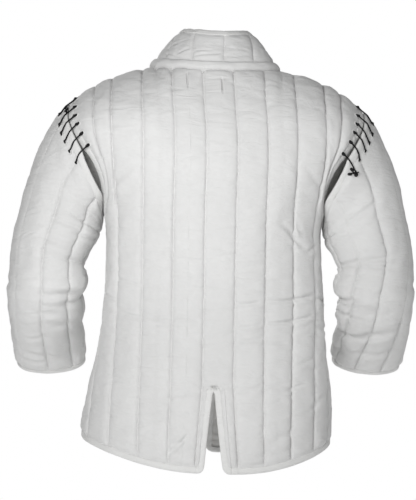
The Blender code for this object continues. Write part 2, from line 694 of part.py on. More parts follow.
def shoulder_lace(name, side, from_angle, to_angle, surface, material):
    """One stretch of lace, from an eyelet in the body to one in the sleeve."""
    mirror = (SIDES[side]["sign"], 1, 1)
    angle = np.array((from_angle, to_angle), float)
    edge_in, edge_out = round_armhole(side, angle), round_armhole(side, angle, outer=True)
    rim = sleeve_points(np.zeros(2), angle) * mirror
    out = unit((edge_out - edge_in).sum(0))
    across = unit(rim - edge_in)
    start = edge_in[0] - across[0] * EYELET_INSET
    end = rim[1] + across[1] * EYELET_INSET
    lace(name, start, end, out, surface, material)


def clear_scene():
    """Removes the objects that the file opened with."""
    for old in list(bpy.data.objects):
        bpy.data.objects.remove(old)


def main():
    """Builds every piece of the jacket."""
    clear_scene()
    root = bpy.data.objects.new("gambeson", None)
    bpy.context.scene.collection.objects.link(root)
    canvas = make_material("cotton_canvas", (0.66, 0.66, 0.65), 0.9)
    tape = make_material("cotton_tape", (0.70, 0.70, 0.69), 0.85)
    cord = make_material("black_lace", (0.012, 0.012, 0.013), 0.5)

    back, front = back_grids(), front_grids()
    turned_round = [grid[:, ::-1] for grid in back["right"]]
    wall("back", [back["left"], turned_round], canvas)
    for side in SIDES:
        wall(f"front_{side}", [front[side]], canvas)
        edge_tape(side, back[side], front[side], tape)

    collar, welt = collar_grids()
    wall("collar", [collar], canvas)
    wall("collar_welt", [welt], canvas)
    top_away = np.tile((0.0, 0.0, 1.0), (collar[0].shape[1], 1))
    binding("collar_binding", collar[0][-1], collar[1][-1], top_away, tape)

    for side, setup in SIDES.items():
        inside, outside = sleeve_grid(side)
        wall(f"sleeve_{side}", [(inside, outside)], canvas, around=True)
        up, down = inside[0] - inside[1], inside[-1] - inside[-2]
        binding(f"sleeve_head_binding_{side}", inside[0], outside[0], up, tape, closed=True)
        binding(f"cuff_binding_{side}", inside[-1], outside[-1], down, tape, closed=True)

        yoke = [k for k, v in enumerate(body_rows()) if v <= 2]
        path = []
        for k in (0, 1):
            behind, before = back[side][k][yoke, -1].copy(), front[side][k][yoke, -1]
            behind[[0, -1]] = (behind[[0, -1]] + before[[0, -1]]) / 2
            path.append(np.concatenate([behind, before[-2:0:-1]]))
        inward = unit(path[0].mean(0) - path[0]) + (setup["sign"] * 0.7, 0, 0)
        binding(f"armhole_binding_{side}", *path, inward, tape, closed=True)

        under = ["back", f"front_{side}", f"sleeve_{side}"]
        under += [f"armhole_binding_{side}", f"sleeve_head_binding_{side}"]
        surface = surface_of(*under)
        for place, turn in (("back", 1), ("front", -1)):
            for n, angle in enumerate(LACE_ANGLES, 1):
                name = f"lace_{side}_{place}_{n}"
                shoulder_lace(name, side, turn * angle, turn * (angle + LACE_SLANT), surface, cord)

    surface = surface_of("front_left", "front_right", "edge_binding_left", "edge_binding_right")
    reach = np.array((FRONT_EDGE * CHANNEL + EYELET_INSET, 0, 0))
    for n, height in enumerate(FRONT_LACES, 1):
        centre = np.array((float(smooth(TORSO, "sway", height)), FRONT_LACE_DEPTH, height))
        lace(f"front_lace_{n}", centre - reach, centre + reach, np.array((0, -1, 0)), surface, cord)


main()
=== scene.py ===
# %% [markdown]
# A quilted arming jacket, or gambeson, seen from behind. It is made of padded panels: a back, two
# fronts, a stand collar and two sleeves that are laced to the body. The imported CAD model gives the
# true form and size of each piece. Its panels have few faces, because a solid for simulation must
# stay light. This script builds each one again from the same measures, many times finer, and adds
# what only the eye needs: pinched quilting lines, creases, puckers, stitches and a woven finish.

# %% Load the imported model
import math

import bpy
import numpy as np
from mathutils import Matrix, Vector
from mathutils.bvhtree import BVHTree


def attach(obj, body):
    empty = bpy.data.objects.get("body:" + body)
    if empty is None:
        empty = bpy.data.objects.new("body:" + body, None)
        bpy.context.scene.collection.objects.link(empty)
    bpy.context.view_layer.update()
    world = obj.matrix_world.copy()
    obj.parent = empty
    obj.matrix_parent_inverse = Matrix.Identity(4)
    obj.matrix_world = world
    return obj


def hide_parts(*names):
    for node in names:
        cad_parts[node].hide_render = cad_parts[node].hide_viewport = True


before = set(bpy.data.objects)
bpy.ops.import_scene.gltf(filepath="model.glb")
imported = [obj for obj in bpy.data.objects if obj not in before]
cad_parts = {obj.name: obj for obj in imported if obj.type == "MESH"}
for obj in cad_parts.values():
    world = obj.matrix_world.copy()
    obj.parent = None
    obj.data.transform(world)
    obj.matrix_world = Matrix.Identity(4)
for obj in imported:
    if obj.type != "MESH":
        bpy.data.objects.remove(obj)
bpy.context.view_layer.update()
bpy.ops.object.select_all(action="DESELECT")
print("CAD nodes:", len(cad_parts))

# %% [markdown]
# The camera comes first, because it says which side matters most. The photograph was taken from a
# few metres away, level with the chest and a touch rolled, so a long lens and a small turn about
# the view's axis repeat it. A long lens keeps the shoulders from looking wider than the hem.

# %% Camera
CAMERA_AT = (0.0072, 3.0, -0.322)
CAMERA_ROLL = math.radians(1.75)


def add_camera():
    """A camera behind the jacket, at the photograph's distance and angle."""
    data = bpy.data.cameras.new("camera")
    data.lens = 120
    data.sensor_width = 36
    camera = bpy.data.objects.new("camera", data)
    bpy.context.scene.collection.objects.link(camera)
    turned = Matrix.Rotation(math.pi, 4, "Z") @ Matrix.Rotation(math.pi / 2, 4, "X")
    camera.matrix_world = Matrix.Translation(CAMERA_AT) @ turned @ Matrix.Rotation(CAMERA_ROLL, 4, "Z")
    bpy.context.scene.camera = camera


add_camera()

# %% [markdown]
# Pale cloth shows its form only by soft shade. The photograph's light comes from near the camera,
# a little to the left and no higher than the chest, so what faces the camera is bright, and the
# shoulders, the sides and the low hem fall off. The surround lights weakly but is seen as white.

# %% Floor and light
FLOOR_HEIGHT = -1.46
SURROUND = 0.12
BACKGROUND = 1.0
LIGHTS = {  # place, size in metres and power in watts
    "key": ((0.40, 1.3, -0.06), 0.7, 14.2),
    "side": ((-1.9, 1.1, 0.7), 1.2, 13),
    "front": ((0.9, -2.6, 0.9), 1.2, 62),
}


def add_light(name, place, size, power):
    """A square soft light that shines at the chest."""
    data = bpy.data.lights.new(name, "AREA")
    data.size = size
    data.energy = power
    lamp = bpy.data.objects.new(name, data)
    bpy.context.scene.collection.objects.link(lamp)
    lamp.location = place
    lamp.rotation_euler = (Vector((0, 0, -0.3)) - Vector(place)).to_track_quat("-Z", "Y").to_euler()


for light_name, (light_place, light_size, light_power) in LIGHTS.items():
    add_light(light_name, light_place, light_size, light_power)

world = bpy.data.worlds.new("studio")
world.use_nodes = True
world_nodes = world.node_tree.nodes
surround, backdrop = world_nodes["Background"], world_nodes.new("ShaderNodeBackground")
for shade, strength in ((surround, SURROUND), (backdrop, BACKGROUND)):
    shade.inputs["Color"].default_value = (1, 1, 1, 1)
    shade.inputs["Strength"].default_value = strength
seen = world_nodes.new("ShaderNodeLightPath")
chosen = world_nodes.new("ShaderNodeMixShader")
world.node_tree.links.new(seen.outputs["Is Camera Ray"], chosen.inputs[0])
world.node_tree.links.new(surround.outputs[0], chosen.inputs[1])
world.node_tree.links.new(backdrop.outputs[0], chosen.inputs[2])
world.node_tree.links.new(chosen.outputs[0], world_nodes["World Output"].inputs["Surface"])
bpy.context.scene.world = world
bpy.context.scene.view_settings.view_transform = "Standard"
print("lights:", ", ".join(LIGHTS))

# %% [markdown]
# Shader nodes are easier to read as sums. The class below wraps a socket, so that a line such as
# `1 - mask * 0.5` adds its Math nodes by itself. `add` makes any other node from its type, its
# settings and what goes into its sockets.

# %% Shader helpers


class Value:
    """A socket that can be used in Python sums."""

    def __init__(self, tree, socket):
        self.tree = tree
        self.socket = socket

    def math(self, operation, first, second=None):
        node = self.tree.nodes.new("ShaderNodeMath")
        node.operation = operation
        for place, value in enumerate((first, second)):
            if isinstance(value, Value):
                self.tree.links.new(value.socket, node.inputs[place])
            elif value is not None:
                node.inputs[place].default_value = value
        return Value(self.tree, node.outputs[0])

    def __add__(self, other):
        return self.math("ADD", self, other)

    def __radd__(self, other):
        return self.math("ADD", other, self)

    def __sub__(self, other):
        return self.math("SUBTRACT", self, other)

    def __rsub__(self, other):
        return self.math("SUBTRACT", other, self)

    def __mul__(self, other):
        return self.math("MULTIPLY", self, other)

    def __rmul__(self, other):
        return self.math("MULTIPLY", other, self)

    def wave(self):
        """The sine of the value."""
        return self.math("SINE", self)

    def clipped(self):
        """The value, kept from 0 to 1."""
        return self.math("MINIMUM", self.math("MAXIMUM", self, 0.0), 1.0)


class Finish:
    """A material whose nodes are added line by line."""

    def __init__(self, name, colour, roughness):
        self.material = bpy.data.materials.new(name)
        self.material.use_nodes = True
        self.tree = self.material.node_tree
        self.shader = self.tree.nodes["Principled BSDF"]
        self.shader.inputs["Base Color"].default_value = (*colour, 1)
        self.shader.inputs["Roughness"].default_value = roughness
        self.material.diffuse_color = (*colour, 1)

    def add(self, kind, settings=None, output=0, **sockets):
        """A node of this kind, with its settings made before its sockets are filled."""
        node = self.tree.nodes.new(kind)
        for name, value in (settings or {}).items():
            setattr(node, name, value)
        for name, value in sockets.items():
            self.fill(node.inputs[name.replace("_", " ")], value)
        return Value(self.tree, node.outputs[output])

    def fill(self, socket, value):
        """Links or sets a socket."""
        if isinstance(value, Value):
            self.tree.links.new(value.socket, socket)
        else:
            socket.default_value = value

    def mixed(self, share, low, high):
        """A colour between two others."""
        node = self.tree.nodes.new("ShaderNodeMix")
        node.data_type = "RGBA"
        for place, value in ((0, share), (6, low), (7, high)):
            if isinstance(value, tuple):
                value = (*value, 1)
            self.fill(node.inputs[place], value)
        return Value(self.tree, node.outputs[2])

    def bump(self, height, distance, strength=1.0):
        """Sends a height to the shader's normal."""
        bumped = self.add(
            "ShaderNodeBump", Height=height, Distance=distance, Strength=strength
        )
        self.fill(self.shader.inputs["Normal"], bumped)


# %% [markdown]
# The cloth is an undyed cotton canvas: matt, near white, with a plain weave that is just too fine
# to see from a step away. Each panel has a UV map laid out in metres along its surface, so the
# yarns follow the panel round the body. Two sine waves at right angles give over-and-under yarns,
# and a little noise keeps them from looking printed. Wide soft noise varies the tone, as pressing
# and handling do, and a faint sheen lifts the edges as loose fibres do.

# %% Cloth finishes
YARN = 0.0009  # from one yarn to the next
CRUMPLE = 0.0065  # height of the faint wrinkles of washed cotton
FULL_TURN = 2 * math.pi


def woven(name, colour, shade, yarn=YARN, roughness=0.92, relief=0.00022):
    """A plain-woven cotton."""
    finish = Finish(name, colour, roughness)
    place = finish.add("ShaderNodeUVMap", {"uv_map": "cloth"})
    parts = finish.tree.nodes.new("ShaderNodeSeparateXYZ")
    finish.fill(parts.inputs[0], place)
    across, along = (Value(finish.tree, parts.outputs[k]) for k in (0, 1))
    uneven = finish.add("ShaderNodeTexNoise", Vector=place, Scale=260.0, Detail=3.0)
    warp = (across * (FULL_TURN / yarn) + uneven * 3.0).wave()
    weft = (along * (FULL_TURN / yarn) + uneven * 3.0).wave()
    crossing = (across * (math.pi / yarn)).wave() * (along * (math.pi / yarn)).wave()
    body = finish.add("ShaderNodeTexCoord", output=3)
    handled = finish.add("ShaderNodeTexNoise", Vector=body, Scale=7.0, Detail=4.0)
    slub = finish.add("ShaderNodeTexNoise", Vector=body, Scale=90.0, Detail=2.0)
    tone = ((handled - 0.35) * 1.6 + (slub - 0.5) * 0.5).clipped()
    finish.fill(finish.shader.inputs["Base Color"], finish.mixed(tone, shade, colour))
    finish.fill(finish.shader.inputs["Roughness"], (roughness - 0.06) + slub * 0.12)
    flat = finish.add("ShaderNodeMapping", Vector=body, Scale=(0.55, 0.55, 1.7))
    crumple = finish.add("ShaderNodeTexNoise", Vector=flat, Scale=34.0, Detail=4.0, Distortion=0.9)
    height = (warp + weft) * 0.25 + crossing * 0.35 + uneven * 0.5 + crumple * (CRUMPLE / relief)
    finish.bump(height, relief, 0.55)
    finish.shader.inputs["Sheen Weight"].default_value = 0.12
    finish.shader.inputs["Sheen Roughness"].default_value = 0.5
    finish.shader.inputs["Specular IOR Level"].default_value = 0.25
    return finish.material


canvas = woven("quilted_canvas", (0.74, 0.74, 0.735), (0.66, 0.66, 0.655))
lining = woven("lining_canvas", (0.66, 0.655, 0.64), (0.58, 0.575, 0.56), yarn=0.0011)
tape = woven("bias_tape", (0.77, 0.77, 0.765), (0.70, 0.70, 0.69), yarn=0.0007)
print("cloth finishes:", canvas.name, lining.name, tape.name)

# %% [markdown]
# The thread is the cloth's colour and a little shinier. The laces are black braided cord: two
# slanting sets of waves that cross round the cord make the braid's small diamonds.

# %% Thread and lace finishes
BRAID = 0.0021  # length of one diamond of the braid


def twisted_thread():
    """Cotton sewing thread, seen as a fine twist."""
    finish = Finish("sewing_thread", (0.72, 0.72, 0.71), 0.7)
    body = finish.add("ShaderNodeTexCoord", output=3)
    fibres = finish.add("ShaderNodeTexNoise", Vector=body, Scale=900.0, Detail=2.0)
    tone = finish.mixed(fibres, (0.60, 0.60, 0.59), (0.78, 0.78, 0.77))
    finish.fill(finish.shader.inputs["Base Color"], tone)
    finish.bump(fibres, 0.0002, 0.4)
    return finish.material


def braided():
    """Black braided lace; its UV map runs round the cord and along it, in metres."""
    finish = Finish("black_braid", (0.004, 0.004, 0.005), 0.62)
    place = finish.add("ShaderNodeUVMap", {"uv_map": "cloth"})
    parts = finish.tree.nodes.new("ShaderNodeSeparateXYZ")
    finish.fill(parts.inputs[0], place)
    around, along = (Value(finish.tree, parts.outputs[k]) for k in (0, 1))
    turns = FULL_TURN / BRAID
    diamonds = ((around + along) * turns).wave() + ((around - along) * turns).wave()
    fuzz = finish.add("ShaderNodeTexNoise", Vector=place, Scale=1500.0, Detail=2.0)
    tone = (diamonds * 0.25 + 0.3 + fuzz * 0.3).clipped()
    finish.fill(
        finish.shader.inputs["Base Color"], finish.mixed(tone, (0.002, 0.002, 0.003), (0.010, 0.010, 0.011))
    )
    finish.bump(diamonds * 0.5 + fuzz * 0.4, 0.0004, 0.8)
    finish.shader.inputs["Specular IOR Level"].default_value = 0.25
    return finish.material


thread, lace_black = twisted_thread(), braided()

# %% [markdown]
# Now the cut. The body is a tube whose cross-sections are rounded rectangles, narrow at the waist
# and wide at the chest and hem. A place on a panel is given as a maker would mark it: how many
# quilting channels from the centre, and how far down. These are the CAD model's own measures, so
# each fine panel lies where its solid is.

# %% Measures
SEAM_WALL = 0.004  # wall where a quilting line holds the layers together
PUFF = 0.0045  # how far the padding stands up in the middle of a channel
CHANNEL = 0.0535  # distance between two quilting lines
SEAM_GAP = 0.0003
BINDING = 0.008
EDGE_PRESS = 0.013
RING_POWER = 2.35
UNDERARM = -0.262
HEM_BACK = -0.696
HEM_RISE = 0.042
VENT_TOP = -0.557
VENT_AT = 0.137
VENT_CORNER = 0.004
VENT_SPREAD = 0.0155
YOKE_DROP = 0.100
FRONT_EDGE = 0.17
EDGE_AT = 5.5
NECK_WIDTH = 2 * CHANNEL
NECK_BACK = 0.088
NECK_FRONT = 0.095
NECK_SIDE_HEIGHT = -0.004
NECK_BACK_DIP = 0.007
NECK_FRONT_DIP = 0.060
SIDES = {  # the sleeves' first quilting line, its twist at the cuff, and how low they hang
    "left": {"sign": 1, "first_line": 85, "twist": 5, "drop": 0.008},
    "right": {"sign": -1, "first_line": 74, "twist": 40, "drop": -0.008},
}


def table(names, *rows):
    """A short table, kept as one array for each named column."""
    return dict(zip(names.split(), np.array(rows, float).T))


TORSO = table(
    "height half_width back front sway line_drift",
    (0.010, 0.330, 0.100, 0.095, 0.0, -0.004),
    (-0.050, 0.330, 0.118, 0.108, 0.0, -0.007),
    (-0.100, 0.318, 0.130, 0.120, 0.0, -0.010),
    (-0.140, 0.288, 0.135, 0.127, 0.0, -0.012),
    (-0.170, 0.252, 0.137, 0.131, 0.0, -0.013),
    (-0.200, 0.222, 0.136, 0.134, 0.0, -0.013),
    (-0.235, 0.199, 0.133, 0.135, 0.0, -0.013),
    (-0.270, 0.1875, 0.129, 0.135, 0.0, -0.013),
    (-0.340, 0.1855, 0.119, 0.133, -0.004, -0.010),
    (-0.400, 0.188, 0.115, 0.132, -0.0060, -0.009),
    (-0.460, 0.1925, 0.119, 0.134, -0.0056, -0.010),
    (-0.520, 0.200, 0.130, 0.139, -0.0042, -0.012),
    (-0.580, 0.211, 0.143, 0.144, -0.0022, -0.015),
    (-0.640, 0.217, 0.152, 0.148, 0.0006, -0.019),
    (-0.710, 0.222, 0.158, 0.150, 0.002, -0.023),
)
SHOULDER = table(
    "out height",
    (0.100, -0.003),
    (0.130, -0.006),
    (0.167, -0.0165),
    (0.202, -0.031),
    (0.227, -0.045),
    (0.247, -0.059),
    (0.270, -0.079),
)
ARMHOLE = table(
    "height edge last_line",
    (-0.262, 0.250, 0.228),
    (-0.250, 0.236, 0.218),
    (-0.235, 0.220, 0.205),
    (-0.215, 0.209, 0.198),
    (-0.195, 0.208, 0.197),
    (-0.175, 0.213, 0.200),
    (-0.155, 0.223, 0.206),
    (-0.130, 0.239, 0.213),
    (-0.100, 0.254, 0.217),
    (-0.060, 0.258, 0.217),
)

# %% [markdown]
# A few small functions turn the tables into smooth curves and directions. `patchy` is the only
# source of chance here: smooth random heights from a fixed seed, the same in each run.

# %% Curves, directions and chance


def smooth(data, column, at, key="height"):
    """A smooth curve through one column of a table, level beyond its ends."""
    order = np.argsort(data[key])
    x, y = data[key][order], data[column][order]
    slope = np.gradient(y, x)
    at = np.clip(np.asarray(at, float), x[0], x[-1])
    i = np.clip(np.searchsorted(x, at) - 1, 0, len(x) - 2)
    step = x[i + 1] - x[i]
    t = (at - x[i]) / step
    rise = y[i + 1] - y[i]
    start, end = slope[i] * step, slope[i + 1] * step
    return y[i] + t * (start + t * (3 * rise - 2 * start - end + t * (start + end - 2 * rise)))


def unit(v):
    """Vectors of length 1."""
    return v / np.maximum(np.linalg.norm(v, axis=-1, keepdims=True), 1e-12)


def eased(t):
    """0 to 1 with soft ends."""
    t = np.clip(t, 0, 1)
    return t * t * (3 - 2 * t)


def press(distance):
    """Share of the padding left at a distance from a bound edge."""
    return eased(distance / EDGE_PRESS)


def patchy(x, y, seed):
    """Smooth random heights from -1 to 1 over a plane whose patches are one unit wide."""
    lattice = np.random.default_rng(seed).uniform(-1, 1, (97, 97))
    x, y = np.broadcast_arrays(x, y)
    i, j = np.floor(x).astype(int), np.floor(y).astype(int)
    s, t = eased(x - i), eased(y - j)
    corner = [[lattice[(i + a) % 97, (j + b) % 97] for b in (0, 1)] for a in (0, 1)]
    low = corner[0][0] + t * (corner[0][1] - corner[0][0])
    high = corner[1][0] + t * (corner[1][1] - corner[1][0])
    return low + s * (high - low)


def grid_normals(points, outward):
    """Unit normals of a grid of points, on the side where outward points."""
    normal = unit(np.cross(np.gradient(points, axis=0), np.gradient(points, axis=1)))
    return normal * np.sign((normal * outward).sum(-1, keepdims=True))


# %% [markdown]
# The body's panels. `body_points` bends the flat cut round the body: over the shoulder first, then
# down the chest or the back, then out over the hips to a hem that rises at the sides.

# %% The body's form


def ring_lengths(height, face, steps=64):
    """Distance along the body's cross-section from its centre, at steps of a quarter turn."""
    turn = np.linspace(0, math.pi / 2, steps + 1)
    wide = smooth(TORSO, "half_width", height)[..., None] * np.sin(turn) ** (2 / RING_POWER)
    deep = smooth(TORSO, face, height)[..., None] * np.cos(turn) ** (2 / RING_POWER)
    run = np.hypot(np.diff(wide, axis=-1), np.diff(deep, axis=-1)).cumsum(-1)
    return np.concatenate([np.zeros_like(run[..., :1]), run], -1)


def ring_point(distance, height, face):
    """Width and depth of the cross-section at this distance round it from the centre."""
    run = ring_lengths(height, face)
    i = np.clip((run < distance[..., None]).sum(-1) - 1, 0, run.shape[-1] - 2)[..., None]
    low, high = np.take_along_axis(run, i, -1), np.take_along_axis(run, i + 1, -1)
    share = np.clip((distance[..., None] - low) / (high - low), 0, 1)
    turn = ((i + share) * math.pi / 2 / (run.shape[-1] - 1))[..., 0]
    wide = smooth(TORSO, "half_width", height) * np.sin(turn) ** (2 / RING_POWER)
    deep = smooth(TORSO, face, height) * np.clip(np.cos(turn), 0, 1) ** (2 / RING_POWER)
    return wide, np.where(turn > math.pi / 2 - 1e-9, 0, deep)


def panel_distance(c, height, face):
    """Distance round the body from the centre for a place given in channels."""
    side = np.abs(c)
    side_seam = ring_lengths(height, face)[..., -1]
    edge = np.where(height < UNDERARM, side_seam, smooth(ARMHOLE, "edge", height))
    below = np.clip((UNDERARM - height) / 0.05, 0, 1)
    last = smooth(ARMHOLE, "last_line", height)
    last = last + below * (4.5 * CHANNEL - last)
    inner = np.minimum(side, 3.5) * CHANNEL
    middle = np.clip(side - 3.5, 0, 1) * (last - 3.5 * CHANNEL)
    outer = np.clip(side - 4.5, 0, 1) * (edge - last)
    return inner + middle + outer


def top_edge(c, face):
    """Depth and height of a panel's top: the neckline, then the shoulder seam."""
    share = np.sqrt(np.clip(1 - (c / 2) ** 2, 0, 1))
    if face == "back":
        depth, height = NECK_BACK * share, NECK_SIDE_HEIGHT - NECK_BACK_DIP * share**2
    else:
        depth, height = NECK_FRONT * share, NECK_SIDE_HEIGHT - NECK_FRONT_DIP * share**2
    out = panel_distance(c, np.full(np.shape(c), -0.05), face) * 0.985
    shoulder = smooth(SHOULDER, "height", out, "out")
    return depth, np.where(np.abs(c) <= 2, height, shoulder)


def hem_height(c):
    """Height of the hem, which rises towards the side seams."""
    share = (1 - np.cos(math.pi * np.clip(np.abs(c) / EDGE_AT, 0, 1))) / 2
    return HEM_BACK + HEM_RISE * share**1.35


def body_points(c, v, face):
    """Points of the wall's inside: v is 0 to 1 over the yoke, 2 at the underarm, 3 at the hem."""
    c, v = np.broadcast_arrays(np.asarray(c, float), np.asarray(v, float))
    depth, top = top_edge(c, face)
    turned = np.clip(v, 0, 1) * math.pi / 2
    height = top - YOKE_DROP * (1 - np.cos(turned))
    height = height + np.clip(v - 1, 0, 1) * (UNDERARM - top + YOKE_DROP)
    height = height + np.clip(v - 2, 0, 1) * (hem_height(c) - UNDERARM)
    drift = smooth(TORSO, "line_drift", height) * (1 - (c / EDGE_AT) ** 2)
    drift = drift * np.clip(v, 0, 1) if face == "back" else np.zeros_like(height)
    place = np.sign(c) * panel_distance(c, height, face) + drift
    out, full = ring_point(np.abs(place), height, face)
    turn_share = np.sqrt(1 - np.clip(1 - (top - height) / YOKE_DROP, 0, 1) ** 2)
    y = depth + (full - depth) * turn_share
    x = np.sign(place) * out + smooth(TORSO, "sway", height)
    return np.stack([x, y if face == "back" else -y, height], -1)


# %% [markdown]
# What makes quilting look real is its unevenness. Each channel is a soft pillow that is pinched
# hard where the stitches run, the pinch pulls small puckers across the line, the wadding is a bit
# lumpy, and no channel is as full as the next. `quilted` adds these to a wall's thickness.

# %% Quilting relief
PINCH = 0.0027  # how deep a stitched line sinks
PINCH_REACH = 0.0016
THINNEST = 0.0013
PUCKER = 0.00085
PUCKER_STEP = 0.0085  # from one pucker to the next, along a line
PUCKER_REACH = 0.010
DRAG = 0.0019  # thin creases that the stitches pull across a line
DRAG_STEP = 0.022
DRAG_REACH = 0.018
LUMP = 0.0015
FINE_LUMP = 0.0006


def channel_fullness(c):
    """The pillow's height across a channel: 0 on a line, 1 between two."""
    off_crest = 2 * np.abs(c - np.round(c))
    return 1 - off_crest**4.2


def quilted(c, along, seed, spacing=CHANNEL, puckers=1.0):
    """Uneven relief of a quilted wall, from the channel number and the way along it in metres."""
    from_line = (0.5 - np.abs(c - np.round(c))) * spacing
    channel = np.round(c)
    line = np.round(c - 0.5)
    side = np.sign(c - 0.5 - line)
    fullness = 1 + 0.14 * patchy(channel * 3.7, along / 0.085, seed)
    near = np.exp(-from_line / PUCKER_REACH)
    pull = patchy(line * 5.3 + side * 0.35, (along + side * 0.3 * from_line) / PUCKER_STEP, seed + 1)
    strong = 0.6 + 0.4 * patchy(line * 2.1, along / 0.05, seed + 2)
    lumps = patchy(c * spacing / 0.021, along / 0.034, seed + 3)
    fine = patchy(c * spacing / 0.009, along / 0.013, seed + 4)
    drag = patchy(line * 7.1 + side * 1.7, (along + side * 0.45 * from_line) / DRAG_STEP, seed + 5)
    reach = DRAG_REACH * (1 + 0.7 * patchy(line * 4.3 + side, along / 0.06, seed + 6))
    drag = (1 - np.abs(drag)) ** 5 * np.exp(-((from_line / np.maximum(reach, 0.004)) ** 2))
    relief = PUCKER * puckers * near * pull * strong - DRAG * puckers * drag
    relief = relief - PINCH * np.exp(-((from_line / PINCH_REACH) ** 2))
    relief = relief + (LUMP * lumps + FINE_LUMP * fine) * (1 - near)
    return PUFF * channel_fullness(c) * fullness + relief


# %% [markdown]
# Creases are placed in tables like a list of pencil marks. Each has a start and an end,
# in channels and height, a width and a depth. Across the mark the cloth dips and then stands up a
# little below it, as a fold does when the body bends and the padding has to go somewhere.

# %% Creases


def creased(across, along, marks, spacing=CHANNEL):
    """Height added by a table of creases at places given by channel and way along."""
    total = np.zeros(np.broadcast(across, along).shape)
    for k in range(len(marks["depth"])):
        mark = {name: marks[name][k] for name in marks}
        start = np.array((mark["from_c"] * spacing, mark["from_z"]))
        run = np.array((mark["to_c"] * spacing, mark["to_z"])) - start
        length = np.hypot(*run)
        x, z = across * spacing - start[0], along - start[1]
        share = (x * run[0] + z * run[1]) / length**2
        bow = mark["bow"] * (1 - (2 * np.clip(share, 0, 1) - 1) ** 2)
        off = (z * run[0] - x * run[1]) / length * np.sign(run[0] + 1e-9) - bow
        beyond = np.maximum(np.maximum(-share, share - 1), 0) * length
        ends = np.clip(1 - np.abs(2 * share - 1) ** 4, 0, 1) * np.exp(-((beyond / 0.004) ** 2))
        width = CREASE_SHARPNESS * mark["width"]
        dip = -np.exp(-((off / width) ** 2))
        ridge = 0.55 * np.exp(-(((off + 1.9 * width) / (1.3 * width)) ** 2))
        upper = 0.30 * np.exp(-(((off - 1.9 * width) / (1.4 * width)) ** 2))
        total = total + mark["depth"] * ends * (dip + ridge + upper)
    return total


CREASE_FORCE = 1.4
CREASE_SHARPNESS = 0.78
CREASE_COLUMNS = "from_c from_z to_c to_z bow width depth"
BACK_CREASES = table(
    CREASE_COLUMNS,
    # across the right side of the waist
    (-1.50, -0.408, -3.45, -0.393, -0.004, 0.0045, 0.0034),
    (-0.52, -0.414, -1.42, -0.409, -0.002, 0.0040, 0.0026),
    (-1.52, -0.447, -3.30, -0.430, -0.004, 0.0045, 0.0030),
    (-0.55, -0.456, -1.42, -0.447, -0.002, 0.0040, 0.0024),
    (-0.55, -0.482, -1.45, -0.474, 0.0, 0.0040, 0.0020),
    (-1.60, -0.480, -2.30, -0.483, 0.0, 0.0036, 0.0016),
    (-1.95, -0.268, -2.95, -0.322, 0.002, 0.0052, 0.0030),
    (-2.60, -0.262, -2.98, -0.318, -0.002, 0.0046, 0.0018),
    (-2.95, -0.326, -3.70, -0.306, 0.002, 0.0046, 0.0022),
    (0.34, -0.567, -0.42, -0.552, 0.0, 0.0036, 0.0024),
    (-0.50, -0.567, -1.45, -0.553, -0.002, 0.0042, 0.0022),
    (-1.50, -0.557, -2.30, -0.550, 0.0, 0.0038, 0.0016),
    (-3.50, -0.400, -4.60, -0.412, 0.002, 0.0050, 0.0022),
    (-3.40, -0.452, -4.50, -0.462, 0.002, 0.0050, 0.0018),
    # across the left side of the waist, fainter
    (2.05, -0.441, 1.55, -0.443, 0.0, 0.0040, 0.0013),
    (2.05, -0.457, 1.55, -0.453, 0.0, 0.0038, 0.0011),
    (2.45, -0.391, 3.60, -0.377, 0.002, 0.0046, 0.0017),
    (3.30, -0.4390, 1.90, -0.4455, -0.001, 0.0042, 0.0015),
    (3.40, -0.415, 4.60, -0.398, -0.002, 0.0050, 0.0018),
    (0.55, -0.395, 1.40, -0.400, 0.0, 0.0045, 0.0009),
    # shoulder blades and skirt
    (2.60, -0.170, 3.90, -0.235, 0.003, 0.0070, 0.0014),
    (-2.70, -0.165, -3.90, -0.225, -0.003, 0.0070, 0.0016),
    (1.55, -0.676, 0.72, -0.636, 0.0, 0.0052, 0.0034),
    (1.45, -0.440, 0.60, -0.447, 0.001, 0.0040, 0.0013),
    (1.45, -0.453, 0.75, -0.4535, 0.0, 0.0036, 0.0010),
    (1.60, -0.580, 0.62, -0.569, 0.002, 0.0040, 0.0013),
    (-2.25, -0.561, -2.95, -0.550, -0.001, 0.0040, 0.0020),
    (-1.54, -0.587, -2.15, -0.579, 0.0, 0.0036, 0.0015),
    (-0.60, -0.599, -1.25, -0.604, 0.0, 0.0036, 0.0012),
    (-2.60, -0.520, -3.45, -0.508, 0.001, 0.0042, 0.0014),
    (0.60, -0.330, 1.40, -0.326, 0.001, 0.0042, 0.0010),
    (-0.60, -0.352, -1.40, -0.346, 0.001, 0.0042, 0.0011),
    (2.60, -0.660, 1.75, -0.628, 0.003, 0.0070, 0.0012),
    (-1.60, -0.655, -2.60, -0.632, 0.003, 0.0070, 0.0013),
    (-3.10, -0.600, -4.20, -0.570, 0.003, 0.0060, 0.0012),
)
